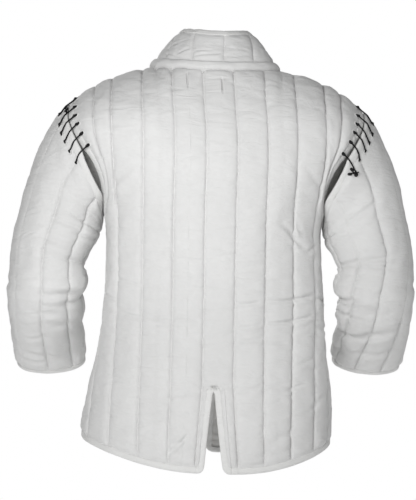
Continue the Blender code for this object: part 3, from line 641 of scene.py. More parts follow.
FRONT_CREASES = table(
    CREASE_COLUMNS,
    (0.60, -0.402, 1.45, -0.398, 0.0, 0.0045, 0.0022),
    (1.55, -0.410, 3.40, -0.392, -0.004, 0.0048, 0.0028),
    (0.60, -0.438, 1.42, -0.444, 0.0, 0.0042, 0.0022),
    (1.60, -0.450, 3.20, -0.436, -0.003, 0.0045, 0.0026),
    (2.55, -0.470, 3.70, -0.462, 0.0, 0.0042, 0.0016),
    (3.40, -0.385, 4.60, -0.372, 0.002, 0.0050, 0.0020),
    (0.70, -0.478, 1.30, -0.474, 0.0, 0.0040, 0.0014),
    (-0.60, -0.396, -1.45, -0.402, 0.0, 0.0045, 0.0020),
    (-1.55, -0.404, -3.30, -0.390, -0.004, 0.0048, 0.0030),
    (-0.62, -0.446, -1.40, -0.440, 0.0, 0.0042, 0.0020),
    (-1.55, -0.446, -3.40, -0.428, -0.003, 0.0045, 0.0026),
    (-2.60, -0.478, -3.60, -0.470, 0.0, 0.0042, 0.0018),
    (-3.40, -0.410, -4.60, -0.400, 0.002, 0.0050, 0.0022),
    (2.60, -0.180, 3.80, -0.240, 0.003, 0.0070, 0.0016),
    (-2.60, -0.175, -3.90, -0.238, -0.003, 0.0070, 0.0016),
    (1.60, -0.610, 2.60, -0.590, 0.002, 0.0060, 0.0013),
    (-1.50, -0.640, -2.50, -0.615, 0.002, 0.0060, 0.0013),
)
# a small pressed oblong below the collar, where the wadding is caught down
PATCH_CREASES = table(
    CREASE_COLUMNS,
    (0.36, -0.0285, -0.40, -0.0270, 0.0, 0.0016, 0.0012),
    (1.000, -0.0185, 1.002, -0.0460, 0.0, 0.0017, 0.0028),
    (-0.090, -0.0255, -0.092, -0.0530, 0.0, 0.0019, 0.0030),
)
print("creases:", len(BACK_CREASES["depth"]) + len(FRONT_CREASES["depth"]), "on the body")

# %% [markdown]
# A grid of points becomes a mesh in two steps: squares between neighbouring points, and a rim that
# joins the outside to the inside, so that every panel is one closed wall. The UV map is measured
# along the surface, which keeps the weave square on a curved panel.

# %% Mesh helpers
shown = []  # every finished piece, with what it replaces


def grid_quads(ids, around=False):
    """Squares between the neighbours of a grid of point numbers."""
    right = np.roll(ids, -1, 1) if around else ids[:, 1:]
    left = ids if around else ids[:, :-1]
    return np.stack([left[:-1], right[:-1], right[1:], left[1:]], -1).reshape(-1, 4)


def rim_quads(quads, count):
    """Squares that join the border of the outside to that of the inside."""
    edges = np.stack([quads, np.roll(quads, -1, 1)], -1).reshape(-1, 2)
    _, first, uses = np.unique(np.sort(edges, 1), axis=0, return_index=True, return_counts=True)
    a, b = edges[first[uses == 1]].T
    return np.stack([b, a, a + count, b + count], -1)


def surface_uv(points, zero_column=0):
    """Way across and way down a grid of points, in metres."""
    across = np.linalg.norm(np.diff(points, axis=1, prepend=points[:, :1]), axis=-1).cumsum(1)
    down = np.linalg.norm(np.diff(points, axis=0, prepend=points[:1]), axis=-1).cumsum(0)
    return np.stack([across - across[:, zero_column : zero_column + 1], down], -1)


def signed_volume(points, faces):
    """Volume of a closed mesh of squares, negative when its faces point in."""
    a, b, c, d = (points[faces[:, k]] for k in range(4))
    return (a * (np.cross(b, c) + np.cross(c, d))).sum()


def make_piece(name, points, faces, uv, materials, second_from=None):
    """A named object from arrays; faces from second_from on take the second material."""
    if signed_volume(points, faces) < 0:
        faces = faces[:, ::-1]
    mesh = bpy.data.meshes.new(name)
    mesh.from_pydata(points.tolist(), [], faces.tolist())
    layer = mesh.uv_layers.new(name="cloth")
    corner = np.empty(len(mesh.loops), int)
    mesh.loops.foreach_get("vertex_index", corner)
    spread = uv[corner]
    if len(spread) == 4 * len(faces):
        spread = spread.reshape(-1, 4, 2)
        wide = np.ptp(uv[:, 0])
        jumps = (np.ptp(spread[..., 0], axis=1) > wide / 2)[:, None]
        spread[..., 0] += np.where(jumps & (spread[..., 0] < uv[:, 0].min() + wide / 2), wide, 0)
    layer.data.foreach_set("uv", spread.reshape(-1).astype(np.float32))
    for material in materials:
        mesh.materials.append(material)
    if second_from is not None:
        index = (np.arange(len(faces)) >= second_from).astype(np.int32)
        mesh.polygons.foreach_set("material_index", index)
    mesh.shade_smooth()
    piece = bpy.data.objects.new(name, mesh)
    bpy.context.scene.collection.objects.link(piece)
    return piece


def wall(name, panel, around=False):
    """A closed wall from a panel's outside and inside."""
    points, inside = (panel[key].reshape(-1, 3) for key in ("outside", "inside"))
    uv = panel["uv"].reshape(-1, 2)
    ids = np.arange(len(points)).reshape(panel["outside"].shape[:2])
    quads = panel.get("quads", None)
    if quads is None:
        quads = grid_quads(ids, around)
    used, quads = np.unique(quads, return_inverse=True)
    quads = quads.reshape(-1, 4)
    points, inside, uv = points[used], inside[used], uv[used]
    faces = np.concatenate([quads, rim_quads(quads, len(points)), quads[:, ::-1] + len(points)])
    both = np.concatenate([points, inside])
    return make_piece(name, both, faces, np.tile(uv, (2, 1)), (canvas, lining), len(faces) - len(quads))


# %% [markdown]
# The back and the fronts. Columns of points crowd together at each quilting line, where the cloth
# turns sharply, and spread out over the pillows. The back is parted below the top of its vent: the
# two halves share a column above it and have one each below it.

# %% Back and fronts
CHANNEL_MARKS = (0, 0.022, 0.05, 0.09, 0.15, 0.25, 0.37, 0.5, 0.63, 0.75, 0.85, 0.91, 0.95, 0.978)
VENT_ROW = 2 + (VENT_TOP - UNDERARM) / (HEM_BACK - UNDERARM)
FACING = 0.27  # the vent's facing is stitched down this far from it, in channels
FACING_PINCH = 0.0017


def channel_columns(first, last, more=()):
    """Columns from one channel number to another, closest at the quilting lines."""
    c = np.array([k + 0.5 + mark for k in range(-6, 6) for mark in CHANNEL_MARKS])
    c = np.sort(np.concatenate([c, more]))
    c = c[(c > first + 0.012) & (c < last - 0.012)]
    return np.concatenate([[first], c, [last]])


def panel_rows():
    """Rows of a body panel, from the neck to the hem, with one at the top of the vent."""
    parts = (np.linspace(0, 1, 42), np.linspace(1, 2, 56)[1:], np.linspace(2, VENT_ROW, 118)[1:])
    return np.concatenate([*parts, np.linspace(VENT_ROW, 3, 54)[1:]])


def body_press(c, v, height, face):
    """Share of the padding left near the hem, neck, armhole, vent and front edges."""
    hem = press((3 - v) * (UNDERARM - HEM_BACK))
    top = press(v * 0.06)
    armhole = np.where(v < 2.05, press((EDGE_AT - np.abs(c)) * 0.018), 1)
    if face == "front":
        return hem * top * armhole * press((np.abs(c) - FRONT_EDGE) * CHANNEL)
    beside = eased((VENT_TOP + 0.008 - height) / 0.012)
    return hem * top * armhole * (1 - beside * (1 - press(np.abs(c - VENT_AT) * CHANNEL)))


def body_panel(c, face, seed, creases):
    """A fine body panel: the inside follows the solid, and the outside is quilted."""
    v = panel_rows()
    inside = body_points(c[None, :], v[:, None], face)
    away = inside * (1, 1, 0) + (0, 0, 0.12) * (v[:, None, None] < 1)
    normal = grid_normals(inside, away)
    across, rows = np.broadcast_arrays(c[None, :], v[:, None])
    on_seam = (np.abs(across) > EDGE_AT - 1e-6) & (rows > 1.999)
    on_seam |= (np.abs(across) >= 2 - 1e-6) & (rows < 1e-6)
    normal = np.where(on_seam[..., None], unit(normal * (1, 0, 1)), normal)
    height = inside[..., 2]
    along = surface_uv(inside)[..., 1]
    left = body_press(across, rows, height, face)
    relief = quilted(across, along, seed) * left
    relief = relief + CREASE_FORCE * creased(across, height, creases) * np.clip(left, 0.25, 1)
    if face == "back":
        beside = eased((VENT_TOP - height) / 0.010)
        off_facing = (np.abs(across - VENT_AT) - FACING) * CHANNEL
        relief = relief - FACING_PINCH * beside * np.exp(-((off_facing / PINCH_REACH) ** 2))
    thick = np.maximum(SEAM_WALL + relief, THINNEST)
    zero = int(np.argmin(np.abs(c)))
    return {
        "c": c,
        "v": v,
        "inside": inside,
        "outside": inside + normal * thick[..., None],
        "normal": normal,
        "uv": surface_uv(inside, zero),
        "spacing": CHANNEL,
    }


def part_at_vent(panel):
    """Opens the back below the top of the vent, and numbers its squares around the slit."""
    c, v = panel["c"], panel["v"]
    below = np.clip((v - VENT_ROW) / (3 - VENT_ROW), 0, 1)[:, None]
    corner = np.clip((v - VENT_ROW) * (UNDERARM - HEM_BACK) / VENT_CORNER, 0, 1)[:, None]
    middle = int(np.argmin(np.abs(c - VENT_AT)))
    halves = {}
    for sign, columns in ((-1, slice(0, middle + 1)), (1, slice(middle, None))):
        from_vent = np.abs(c[columns] - VENT_AT)
        edge = 0.5 - sign * VENT_AT
        wide = np.clip(1 - from_vent / 3, 0, 1) ** 2.5
        narrow = np.clip(1 - from_vent / edge, 0, 1)
        push = VENT_SPREAD * below * wide + (BINDING + SEAM_GAP) * corner * narrow
        for key in ("inside", "outside"):
            moved = panel[key][:, columns] + push[..., None] * (sign, 0, 0)
            halves.setdefault(key, []).append(moved)
    parted = {key: np.concatenate(halves[key], 1) for key in halves}
    for key in ("normal", "uv"):
        parted[key] = np.concatenate([panel[key][:, : middle + 1], panel[key][:, middle:]], 1)
    ids = np.arange(parted["outside"].shape[0] * parted["outside"].shape[1])
    ids = ids.reshape(parted["outside"].shape[:2])
    welded = ids.copy()
    apex = int(np.argmin(np.abs(v - VENT_ROW)))
    welded[: apex + 1, middle + 1] = ids[: apex + 1, middle]
    parted["quads"] = np.concatenate(
        [grid_quads(welded[:, : middle + 1]), grid_quads(welded[:, middle + 1 :])]
    )
    parted["c"] = np.concatenate([c[: middle + 1], c[middle:]])
    parted["v"], parted["middle"], parted["apex"] = v, middle, apex
    parted["spacing"] = CHANNEL
    return parted


def joined_marks(*tables):
    """One table of creases from several."""
    return {name: np.concatenate([t[name] for t in tables]) for name in tables[0]}


patch_columns = [at + step for at in (1.001, -0.091) for step in (-0.06, -0.04, -0.022, 0.0, 0.022, 0.04, 0.06)]
patch_columns += [VENT_AT + side * FACING + step for side in (-1, 1) for step in (-0.03, 0.0, 0.03)]
back_columns = [channel_columns(-EDGE_AT, VENT_AT, patch_columns), channel_columns(VENT_AT, EDGE_AT, patch_columns)[1:]]
back_columns = np.concatenate(back_columns)
panels = {"back": part_at_vent(body_panel(back_columns, "back", 11, joined_marks(BACK_CREASES, PATCH_CREASES)))}
for side, setup in SIDES.items():
    front_columns = channel_columns(FRONT_EDGE, EDGE_AT) * setup["sign"]
    panels[f"front_{side}"] = body_panel(front_columns, "front", 31 + setup["sign"], FRONT_CREASES)
for name in panels:
    shown.append((wall(f"{name}_quilted", panels[name]), [name], "cotton_canvas", True))
    print(name, "faces:", len(shown[-1][0].data.polygons))

# %% [markdown]
# The collar is a strip cut on a curve, so that it stands as a cone. Its foot must sit on the
# shoulders, which slope away in front, so rays dropped onto the fine panels tell how high they are
# under each point. A padded welt covers the seam round the foot.

# %% Collar
COLLAR_BACK_RISE = 0.064
COLLAR_FRONT_RISE = 0.066
COLLAR_TOP_WIDTH = 0.060
COLLAR_TOP_BACK = 0.062
COLLAR_TOP_FRONT = 0.080
COLLAR_ASIDE = 0.0055
COLLAR_LINE_SHIFT = 0.0115
WELT_UP = 0.195  # how far up the collar the welt is stitched down
COLLAR_CHANNEL = 0.055
COLLAR_COLUMNS = 441
COLLAR_OPENING = 0.011
COLLAR_SUNK = 0.0012  # the foot is sewn this deep into the padding
COLLAR_CREASES = table(
    CREASE_COLUMNS,
    (0.46, 0.021, -0.42, 0.027, 0.0015, 0.0022, 0.0022),
    (0.38, 0.031, -0.20, 0.030, 0.001, 0.0020, 0.0014),
    (0.56, 0.011, 1.60, 0.023, 0.002, 0.0024, 0.0022),
    (0.58, 0.033, 1.00, 0.024, 0.001, 0.0022, 0.0018),
    (1.05, 0.040, 1.60, 0.032, 0.001, 0.0024, 0.0016),
    (1.75, 0.026, 2.30, 0.014, 0.001, 0.0028, 0.0014),
    (-0.55, 0.036, -1.30, 0.033, 0.001, 0.0024, 0.0013),
    (-0.60, 0.020, -1.40, 0.024, 0.001, 0.0026, 0.0010),
    (-1.80, 0.040, -2.60, 0.028, 0.002, 0.0030, 0.0013),
    (-2.80, 0.030, -3.50, 0.020, 0.001, 0.0030, 0.0013),
    (2.80, 0.034, 3.50, 0.024, 0.001, 0.0030, 0.0012),
)


def collar_ring(turn, up, base):
    """Inside points of the collar: turn is 0 at the back and half a turn in front."""
    behind = np.cos(turn) > 0
    back_share = (1 + np.cos(turn)) / 2
    rise = COLLAR_FRONT_RISE + (COLLAR_BACK_RISE - COLLAR_FRONT_RISE) * back_share
    flare = (1 - np.clip(up, 0, 1)) ** 0.85
    foot_width = NECK_WIDTH + 0.0045
    width = COLLAR_TOP_WIDTH + (foot_width - COLLAR_TOP_WIDTH) * flare
    foot_depth = np.where(behind, NECK_BACK, NECK_FRONT) + 0.001
    top_depth = np.where(behind, COLLAR_TOP_BACK, COLLAR_TOP_FRONT)
    depth = top_depth + (foot_depth - top_depth) * flare
    x = width * np.sin(turn) + COLLAR_ASIDE * (1 - (1 - back_share) ** 3)
    return np.stack(np.broadcast_arrays(x, depth * np.cos(turn), base + rise * up), -1)


def surface_of(pieces):
    """The surfaces of some pieces, to drop rays on."""
    points, faces = [], []
    for piece in pieces:
        first = len(points)
        points += [v.co for v in piece.data.vertices]
        faces += [[first + i for i in face.vertices] for face in piece.data.polygons]
    return BVHTree.FromPolygons(points, faces)


def ground_under(surface, points):
    """Height of the surface under each point, also where one just misses its edge."""
    heights = []
    for point, way in zip(points, unit(points * (1, 1, 0))):
        starts = [Vector((point + way * far) * (1, 1, 0)) + Vector((0, 0, 0.1)) for far in (0, 0.003, 0.006)]
        hits = [surface.ray_cast(start, (0, 0, -1))[0] for start in starts]
        heights.append(next((hit.z for hit in hits if hit), np.nan))
    heights = np.array(heights)
    missed = np.isnan(heights)
    heights[missed] = np.interp(np.flatnonzero(missed), np.flatnonzero(~missed), heights[~missed])
    return heights


body_surface = surface_of([piece for piece, *_ in shown])
collar_turn = np.linspace(-1, 1, COLLAR_COLUMNS) * (math.pi - COLLAR_OPENING / NECK_FRONT)
level = np.zeros(COLLAR_COLUMNS)
foot_line = collar_ring(collar_turn, level, level)
rim = np.maximum(
    ground_under(body_surface, foot_line), ground_under(body_surface, foot_line + 0.003 * unit(foot_line))
)
ease = np.exp(-((np.arange(-12, 13) / 6.0) ** 2))
rim = np.convolve(np.pad(rim, 12, "edge"), ease / ease.sum(), "valid")


def collar_strip(up, inner, thick):
    """A strip round the collar from its foot up, standing off the collar's inside by inner."""
    points = collar_ring(collar_turn[None, :], up[:, None], rim[None, :])
    normal = grid_normals(points, points * (1, 1, 0) - (COLLAR_ASIDE, 0, 0))
    inside = points + normal * inner
    outside = inside + normal * thick(points)[..., None]
    for grid in (inside, outside):
        grid[0, :, 2] = ground_under(body_surface, grid[0]) - COLLAR_SUNK
        grid[1, :, 2] = np.minimum(grid[1, :, 2], grid[2, :, 2] - 0.001)
    return {"inside": inside, "outside": outside, "normal": normal, "uv": surface_uv(inside, COLLAR_COLUMNS // 2)}


def collar_channels(points):
    """Channel numbers on the collar, whose stitched lines stand upright."""
    around = surface_uv(points, COLLAR_COLUMNS // 2)[..., 0]
    return (around - COLLAR_LINE_SHIFT) / COLLAR_CHANNEL


def collar_relief(points):
    """Thickness of the collar's wall."""
    up = np.linspace(0, 1, len(points))[:, None]
    c = collar_channels(points)
    pressed = eased((up - WELT_UP) / 0.12) * eased((1 - up) / 0.14)
    along = up * COLLAR_BACK_RISE
    relief = quilted(c, along + 0 * c, 51, COLLAR_CHANNEL) * 0.6 * pressed
    folds = creased(c + 0 * up, along + 0 * c, COLLAR_CREASES, COLLAR_CHANNEL)
    return SEAM_WALL + relief + 0.75 * folds * pressed


def welt_relief(points):
    """Thickness of the welt: a soft roll, puckered where it is stitched down."""
    up = np.linspace(0, 1, len(points))[:, None]
    around = np.linspace(0, 0.6, points.shape[1])[None, :]
    roll = 0.0022 + 0.0024 * np.clip(1 - np.abs(2 * up - 0.95) ** 3, 0, 1)
    return roll * (1 + 0.10 * patchy(around / 0.012, up * 2.5, 61) + 0.12 * patchy(around / 0.05, up, 62))


collar_panel = collar_strip(np.linspace(0, 1, 34), 0.0, collar_relief)
welt_panel = collar_strip(np.linspace(0, WELT_UP, 12), SEAM_WALL + 2 * SEAM_GAP, welt_relief)
for name, panel in (("collar", collar_panel), ("collar_welt", welt_panel)):
    shown.append((wall(f"{name}_quilted", panel), [name], "cotton_canvas", True))
print("collar foot from", round(float(rim.min()), 3), "to", round(float(rim.max()), 3))

# %% [markdown]
# Each sleeve is a tube along the arm. Its cross-sections start on the slanting edge of the
# shoulder, turn level, and follow the bent elbow to the cuff. The arm's bend piles the padding up in
# folds on the inside of the elbow: the large ones move the whole wall, as in the solid, and the
# small ones are marked on the outside as on the body.

# %% Sleeves
SLEEVE_CHANNELS = 8
SLEEVE_STANDOFF = 0.0015
SLEEVE_PART = 0.009
ARM_OUTWARD = np.array((0.80, 0.0, -0.60))
SLEEVE = table(
    "out back height half_width half_depth lean tilt",
    (0.2388, 0.000, -0.1765, 0.1022, 0.0700, 72, 0),
    (0.2497, 0.000, -0.1978, 0.0907, 0.0705, 62, 0),
    (0.2572, 0.000, -0.2152, 0.0839, 0.0700, 53, 0),
    (0.2628, 0.001, -0.2331, 0.0776, 0.0690, 44, 0),
    (0.2677, 0.002, -0.2524, 0.0729, 0.0680, 34, 0),
    (0.2737, 0.004, -0.2740, 0.0691, 0.0665, 25, 0),
    (0.2815, 0.007, -0.2968, 0.0651, 0.0650, 16, 0),
    (0.2888, 0.010, -0.3220, 0.0620, 0.0635, 9, 0),
    (0.2920, 0.012, -0.3460, 0.0611, 0.0625, 4, 0),
    (0.2933, 0.014, -0.3680, 0.0602, 0.0625, 0, 2),
    (0.2928, 0.013, -0.3890, 0.0628, 0.0620, -2, 7),
    (0.2953, 0.004, -0.4080, 0.0604, 0.0605, -3, 13),
    (0.2967, -0.011, -0.4260, 0.0599, 0.0590, -4, 19),
    (0.2974, -0.031, -0.4445, 0.0591, 0.0570, -4, 24),
    (0.2969, -0.053, -0.4625, 0.0597, 0.0550, -5, 26),
    (0.2963, -0.077, -0.4825, 0.0595, 0.0525, -5, 26),
    (0.2953, -0.102, -0.5040, 0.0590, 0.0500, -5, 24),
    (0.2950, -0.127, -0.5270, 0.0591, 0.0475, -3, 21),
)
CUFF = len(SLEEVE["out"]) - 1
SLEEVE_FOLDS = table(
    "at angle reach width depth",
    (4.2, 175, 45, 0.55, 0.0050),
    (7.9, 165, 60, 0.50, 0.0050),
    (9.4, 190, 55, 0.55, -0.0035),
    (11.0, 160, 60, 0.50, 0.0055),
    (12.6, 215, 70, 0.60, -0.0030),
    (14.0, 200, 80, 0.55, 0.0045),
    (15.6, 130, 50, 0.60, 0.0030),
)
# Small folds: at is a section, angle is round the sleeve, slant is in sections per 90 degrees
SLEEVE_CREASES = {
    "left": table(
        "at angle reach width slant depth",
        (5.1, 104, 26, 0.20, -0.3, 0.0026),
        (6.6, 100, 30, 0.20, 0.4, 0.0024),
        (7.6, 112, 34, 0.20, 0.8, 0.0022),
        (5.4, 150, 34, 0.22, -0.4, 0.0028),
        (10.3, 118, 38, 0.22, 0.1, 0.0042),
        (9.1, 90, 28, 0.20, -0.2, 0.0020),
        (11.6, 98, 22, 0.18, 0.5, 0.0018),
        (12.7, 132, 24, 0.20, 0.7, 0.0020),
        (13.6, 74, 20, 0.16, -0.6, 0.0014),
        (15.3, 84, 34, 0.20, 0.6, 0.0020),
        (15.9, 60, 24, 0.16, 0.3, 0.0014),
        (4.1, 122, 22, 0.16, 0.3, 0.0016),
        (8.5, 210, 40, 0.22, 0.2, 0.0028),
        (10.0, 240, 40, 0.24, -0.3, 0.0032),
        (11.4, 262, 36, 0.22, 0.3, 0.0026),
        (6.2, 262, 34, 0.24, -0.5, 0.0022),
        (13.4, 300, 40, 0.24, 0.4, 0.0022),
        (9.8, 20, 34, 0.24, 0.2, 0.0016),
    ),
    "right": table(
        "at angle reach width slant depth",
        (3.6, 100, 30, 0.20, 0.2, 0.0022),
        (5.0, 128, 28, 0.20, 0.1, 0.0022),
        (7.4, 112, 44, 0.22, 0.1, 0.0044),
        (7.9, 102, 34, 0.20, -0.4, 0.0026),
        (9.9, 112, 40, 0.26, -0.6, 0.0020),
        (10.6, 158, 34, 0.22, 0.4, 0.0036),
        (12.1, 160, 34, 0.22, 0.5, 0.0032),
        (13.4, 118, 50, 0.30, 1.5, 0.0048),
        (15.0, 100, 46, 0.26, 0.9, 0.0030),
        (8.6, 215, 40, 0.22, 0.2, 0.0028),
        (10.1, 240, 40, 0.24, -0.3, 0.0032),
        (11.6, 268, 36, 0.22, 0.3, 0.0026),
        (6.4, 260, 34, 0.24, -0.5, 0.0022),
        (13.6, 305, 40, 0.24, 0.4, 0.0022),
        (9.4, 30, 34, 0.24, 0.2, 0.0016),
    ),
}


# Some lines are drawn less tight: the channel, the section down to which it is so, and how much
SLACK_LINES = {
    "left": ((7.5, 99, 0.85), (0.5, 2.5, 0.4)),
    "right": ((7.5, 11.0, 0.85), (1.5, 6.2, 0.75), (0.5, 3.0, 0.4)),
}


def armhole_line(side):
    """Inside and outside points round an armhole, and each one's angle about its middle."""
    sign = SIDES[side]["sign"]
    v = np.linspace(0, 2, 80)
    c = np.array((EDGE_AT - 0.05, EDGE_AT)) * sign
    faces = []
    for face in ("back", "front"):
        inside = body_points(c[None, :], v[:, None], face)
        away = inside * (1, 1, 0) + (0, 0, 0.12) * (v[:, None, None] < 1)
        normal = grid_normals(inside, away)
        normal[0] = unit(normal[0] * (1, 0, 1))
        faces.append((inside[:, 1], (inside + normal * SEAM_WALL)[:, 1]))
    inside, outside = (np.concatenate([faces[0][k], faces[1][k][::-1]]) for k in (0, 1))
    middle = (inside[0, 2] + inside[79, 2]) / 2
    return inside, outside, np.degrees(np.arctan2(inside[:, 1], inside[:, 2] - middle))


def round_armhole(side, angles, outer=False):
    """Points round an armhole at these angles, 0 at the shoulder's top and 90 at the back."""
    inside, outside, angle = armhole_line(side)
    points = outside if outer else inside
    order = np.argsort(angle)
    wanted = (np.asarray(angles, float) + 180) % 360 - 180
    found = [np.interp(wanted, angle[order], points[order, k], period=360) for k in range(3)]
    return np.stack(found, -1)


def sleeve_section(at, angle):
    """Points on the plain cross-sections."""
    row = {"at": np.arange(CUFF + 1), **SLEEVE}
    get = {name: smooth(row, name, at, "at") for name in SLEEVE}
    lean, tilt, turn = np.radians(get["lean"]), np.radians(get["tilt"]), np.radians(angle)
    wide = np.cos(turn) * get["half_width"]
    deep = np.sin(turn) * get["half_depth"]
    x = get["out"] + wide * np.cos(lean)
    y = get["back"] + deep * np.cos(tilt) - wide * np.sin(lean) * np.sin(tilt)
    z = get["height"] + wide * np.sin(lean) * np.cos(tilt) - deep * np.sin(tilt)
    return np.stack(np.broadcast_arrays(x, y, z), -1)


def sleeve_rim(angle):
    """The left sleeve's upper edge: it follows the armhole, and parts from it below."""
    off_top = np.abs((angle + 180) % 360 - 180)
    parted = np.exp(-(((off_top - 102) / 24) ** 2))
    reach = 2 * BINDING + SLEEVE_STANDOFF + SLEEVE_PART * parted
    return round_armhole("left", angle) + reach[..., None] * ARM_OUTWARD


def sleeve_points(at, angle):
    """Inside points of the left sleeve at a section number and an angle in degrees."""
    at, angle = np.broadcast_arrays(np.asarray(at, float), np.asarray(angle, float))
    points = sleeve_section(at, angle)
    pull = np.clip(1 - at / 2.6, 0, 1) ** 2
    fit = sleeve_rim(angle) - sleeve_section(np.zeros_like(at), angle)
    points = points + fit * pull[..., None]
    centre = sleeve_section(at, np.zeros_like(angle)) + sleeve_section(at, angle * 0 + 180)
    radial = unit(points - centre / 2)
    fold = np.zeros_like(at)
    for k in range(len(SLEEVE_FOLDS["at"])):
        f = {name: SLEEVE_FOLDS[name][k] for name in SLEEVE_FOLDS}
        turn = (angle - f["angle"] + 180) % 360 - 180
        fold += f["depth"] * np.exp(-(((at - f["at"]) / f["width"]) ** 2) - (turn / f["reach"]) ** 2)
    return points - radial * fold[..., None]


def hang(points, at, side):
    """Places a sleeve's points on its side of the body, at the height that its arm hangs."""
    sign, drop = SIDES[side]["sign"], SIDES[side]["drop"]
    low = np.clip((at - 5) / (CUFF - 5), 0, 1)
    return points * (sign, 1, 1) - np.stack([0 * low, 0 * low, drop * low], -1)


def sleeve_creases(at, angle, marks):
    """Height added by the small folds of a sleeve."""
    total = np.zeros(at.shape)
    for k in range(len(marks["at"])):
        mark = {name: marks[name][k] for name in marks}
        turn = (angle - mark["angle"] + 180) % 360 - 180
        off = at - mark["at"] - mark["slant"] * turn / 90
        ends = np.exp(-((turn / mark["reach"]) ** 4))
        dip = -np.exp(-((off / mark["width"]) ** 2))
        ridge = 0.6 * np.exp(-(((np.abs(off) - 1.9 * mark["width"]) / (1.2 * mark["width"])) ** 2))
        total += mark["depth"] * ends * (dip + ridge)
    return total


def sleeve_panel(side):
    """A fine sleeve whose columns follow its quilting lines."""
    setup = SIDES[side]
    at = np.concatenate([np.linspace(0, CUFF - 0.4, 140), np.linspace(CUFF - 0.4, CUFF, 6)[1:]])
    c = np.array([k + mark for k in range(SLEEVE_CHANNELS) for mark in CHANNEL_MARKS]) + 0.5
    twist = setup["twist"] * np.clip((at - 7) / (CUFF - 7), 0, 1)
    angle = setup["first_line"] + (c[None, :] - 0.5) * 360 / SLEEVE_CHANNELS + twist[:, None]
    sections = at[:, None] + 0 * angle
    inside = hang(sleeve_points(sections, angle), sections, side)
    centre = inside.mean(1, keepdims=True)
    wrapped = np.concatenate([inside[:, -1:], inside, inside[:, :1]], 1)
    normal = grid_normals(wrapped, wrapped - centre)[:, 1:-1]
    across = c[None, :] + 0 * angle
    uv = surface_uv(inside)
    spacing = 0.048
    pressed = (press(at * 0.03) * press((CUFF - at) * 0.03))[:, None]
    relief = quilted(across, uv[..., 1], 71 + setup["sign"], spacing) * pressed
    for line, last, slack in SLACK_LINES[side]:
        near = eased(1 - np.abs(across - line) / 0.45) * (1 - eased((sections - last) / 1.5))
        relief = relief + slack * near * (PUFF - relief) * pressed
    relief = relief + sleeve_creases(sections, angle, SLEEVE_CREASES[side]) * np.clip(pressed, 0.3, 1)
    thick = np.maximum(SEAM_WALL + relief, THINNEST)
    return {
        "c": c,
        "angle": angle[0],
        "inside": inside,
        "outside": inside + normal * thick[..., None],
        "normal": normal,
        "uv": uv,
        "spacing": spacing,
    }


sleeves = {side: sleeve_panel(side) for side in SIDES}
for side, panel in sleeves.items():
    shown.append((wall(f"sleeve_{side}_quilted", panel, around=True), [f"sleeve_{side}"], "cotton_canvas", True))
    print("sleeve", side, "faces:", len(shown[-1][0].data.polygons))

# %% [markdown]
# Every raw edge is finished with bias tape: a folded strip that wraps the edge. Its section is a
# flat loop, full at the fold and thin where it laps onto the panel. Small random swells along it
# come from the topstitching, which never lies quite even on a bias strip.

# %% Tapes
LAP = 0.0035  # how far a tape laps onto the panel
TAPE_SECTION = (  # reach beyond the panel's edge in metres, and share of the half thickness
    (-LAP, -1.0),
    (-0.0010, -1.08),
    (0.0030, -1.08),
    (0.0062, -0.98),
    (0.0077, -0.60),
    (0.0080, 0.0),
    (0.0077, 0.60),
    (0.0062, 0.98),
    (0.0030, 1.08),
    (-0.0010, 1.08),
    (-LAP, 1.0),
    (-LAP, 0.0),
)
TAPE_PROUD = 0.0009


def edge_frames(inside, outside, away, closed):
    """For each point of an edge: its middle, the way off the panel, the way out of its face."""
    middle, out = (inside + outside) / 2, unit(outside - inside)
    ahead = np.roll(middle, -1, 0) - middle
    behind = middle - np.roll(middle, 1, 0)
    if not closed:
        ahead[-1], behind[0] = behind[-1], ahead[0]
    along = unit(unit(ahead) + unit(behind))
    off = unit(np.cross(along, out))
    off = off * np.sign((off * away).sum(-1, keepdims=True))
    return middle, off, out


def softened(line, closed, reach=2):
    """A line of points with its small corners eased."""
    mode = "wrap" if closed else "edge"
    padded = np.pad(line, ((reach, reach), (0, 0)), mode)
    return np.stack([padded[k : k + len(line)] for k in range(2 * reach + 1)]).mean(0)


def tube_quads(count, sides, closed):
    """Squares of a tube of rings, and the squares of its ends when it is open."""
    ids = np.arange(count * sides).reshape(count, sides)
    rings = np.concatenate([ids, ids[:1]]) if closed else ids
    quads = grid_quads(rings, around=True)
    if closed:
        return quads
    caps = []
    for ring, flip in ((ids[0], 1), (ids[-1], -1)):
        for k in range(sides // 2 - 1):
            caps.append(np.array((ring[k], ring[k + 1], ring[-k - 2], ring[-k - 1]))[::flip])
    return np.concatenate([quads, np.array(caps)])


def closing(angle):
    """How much wider two facing tapes are where they are drawn together: all but low at the back."""
    angle = (angle + 180) % 360 - 180
    gap = SLEEVE_STANDOFF + SLEEVE_PART * np.exp(-(((np.abs(angle) - 102) / 24) ** 2))
    parted = eased((angle - 78) / 10) * (1 - eased((angle - 122) / 14))
    return (gap / 2 + 0.0003) * (1 - parted)


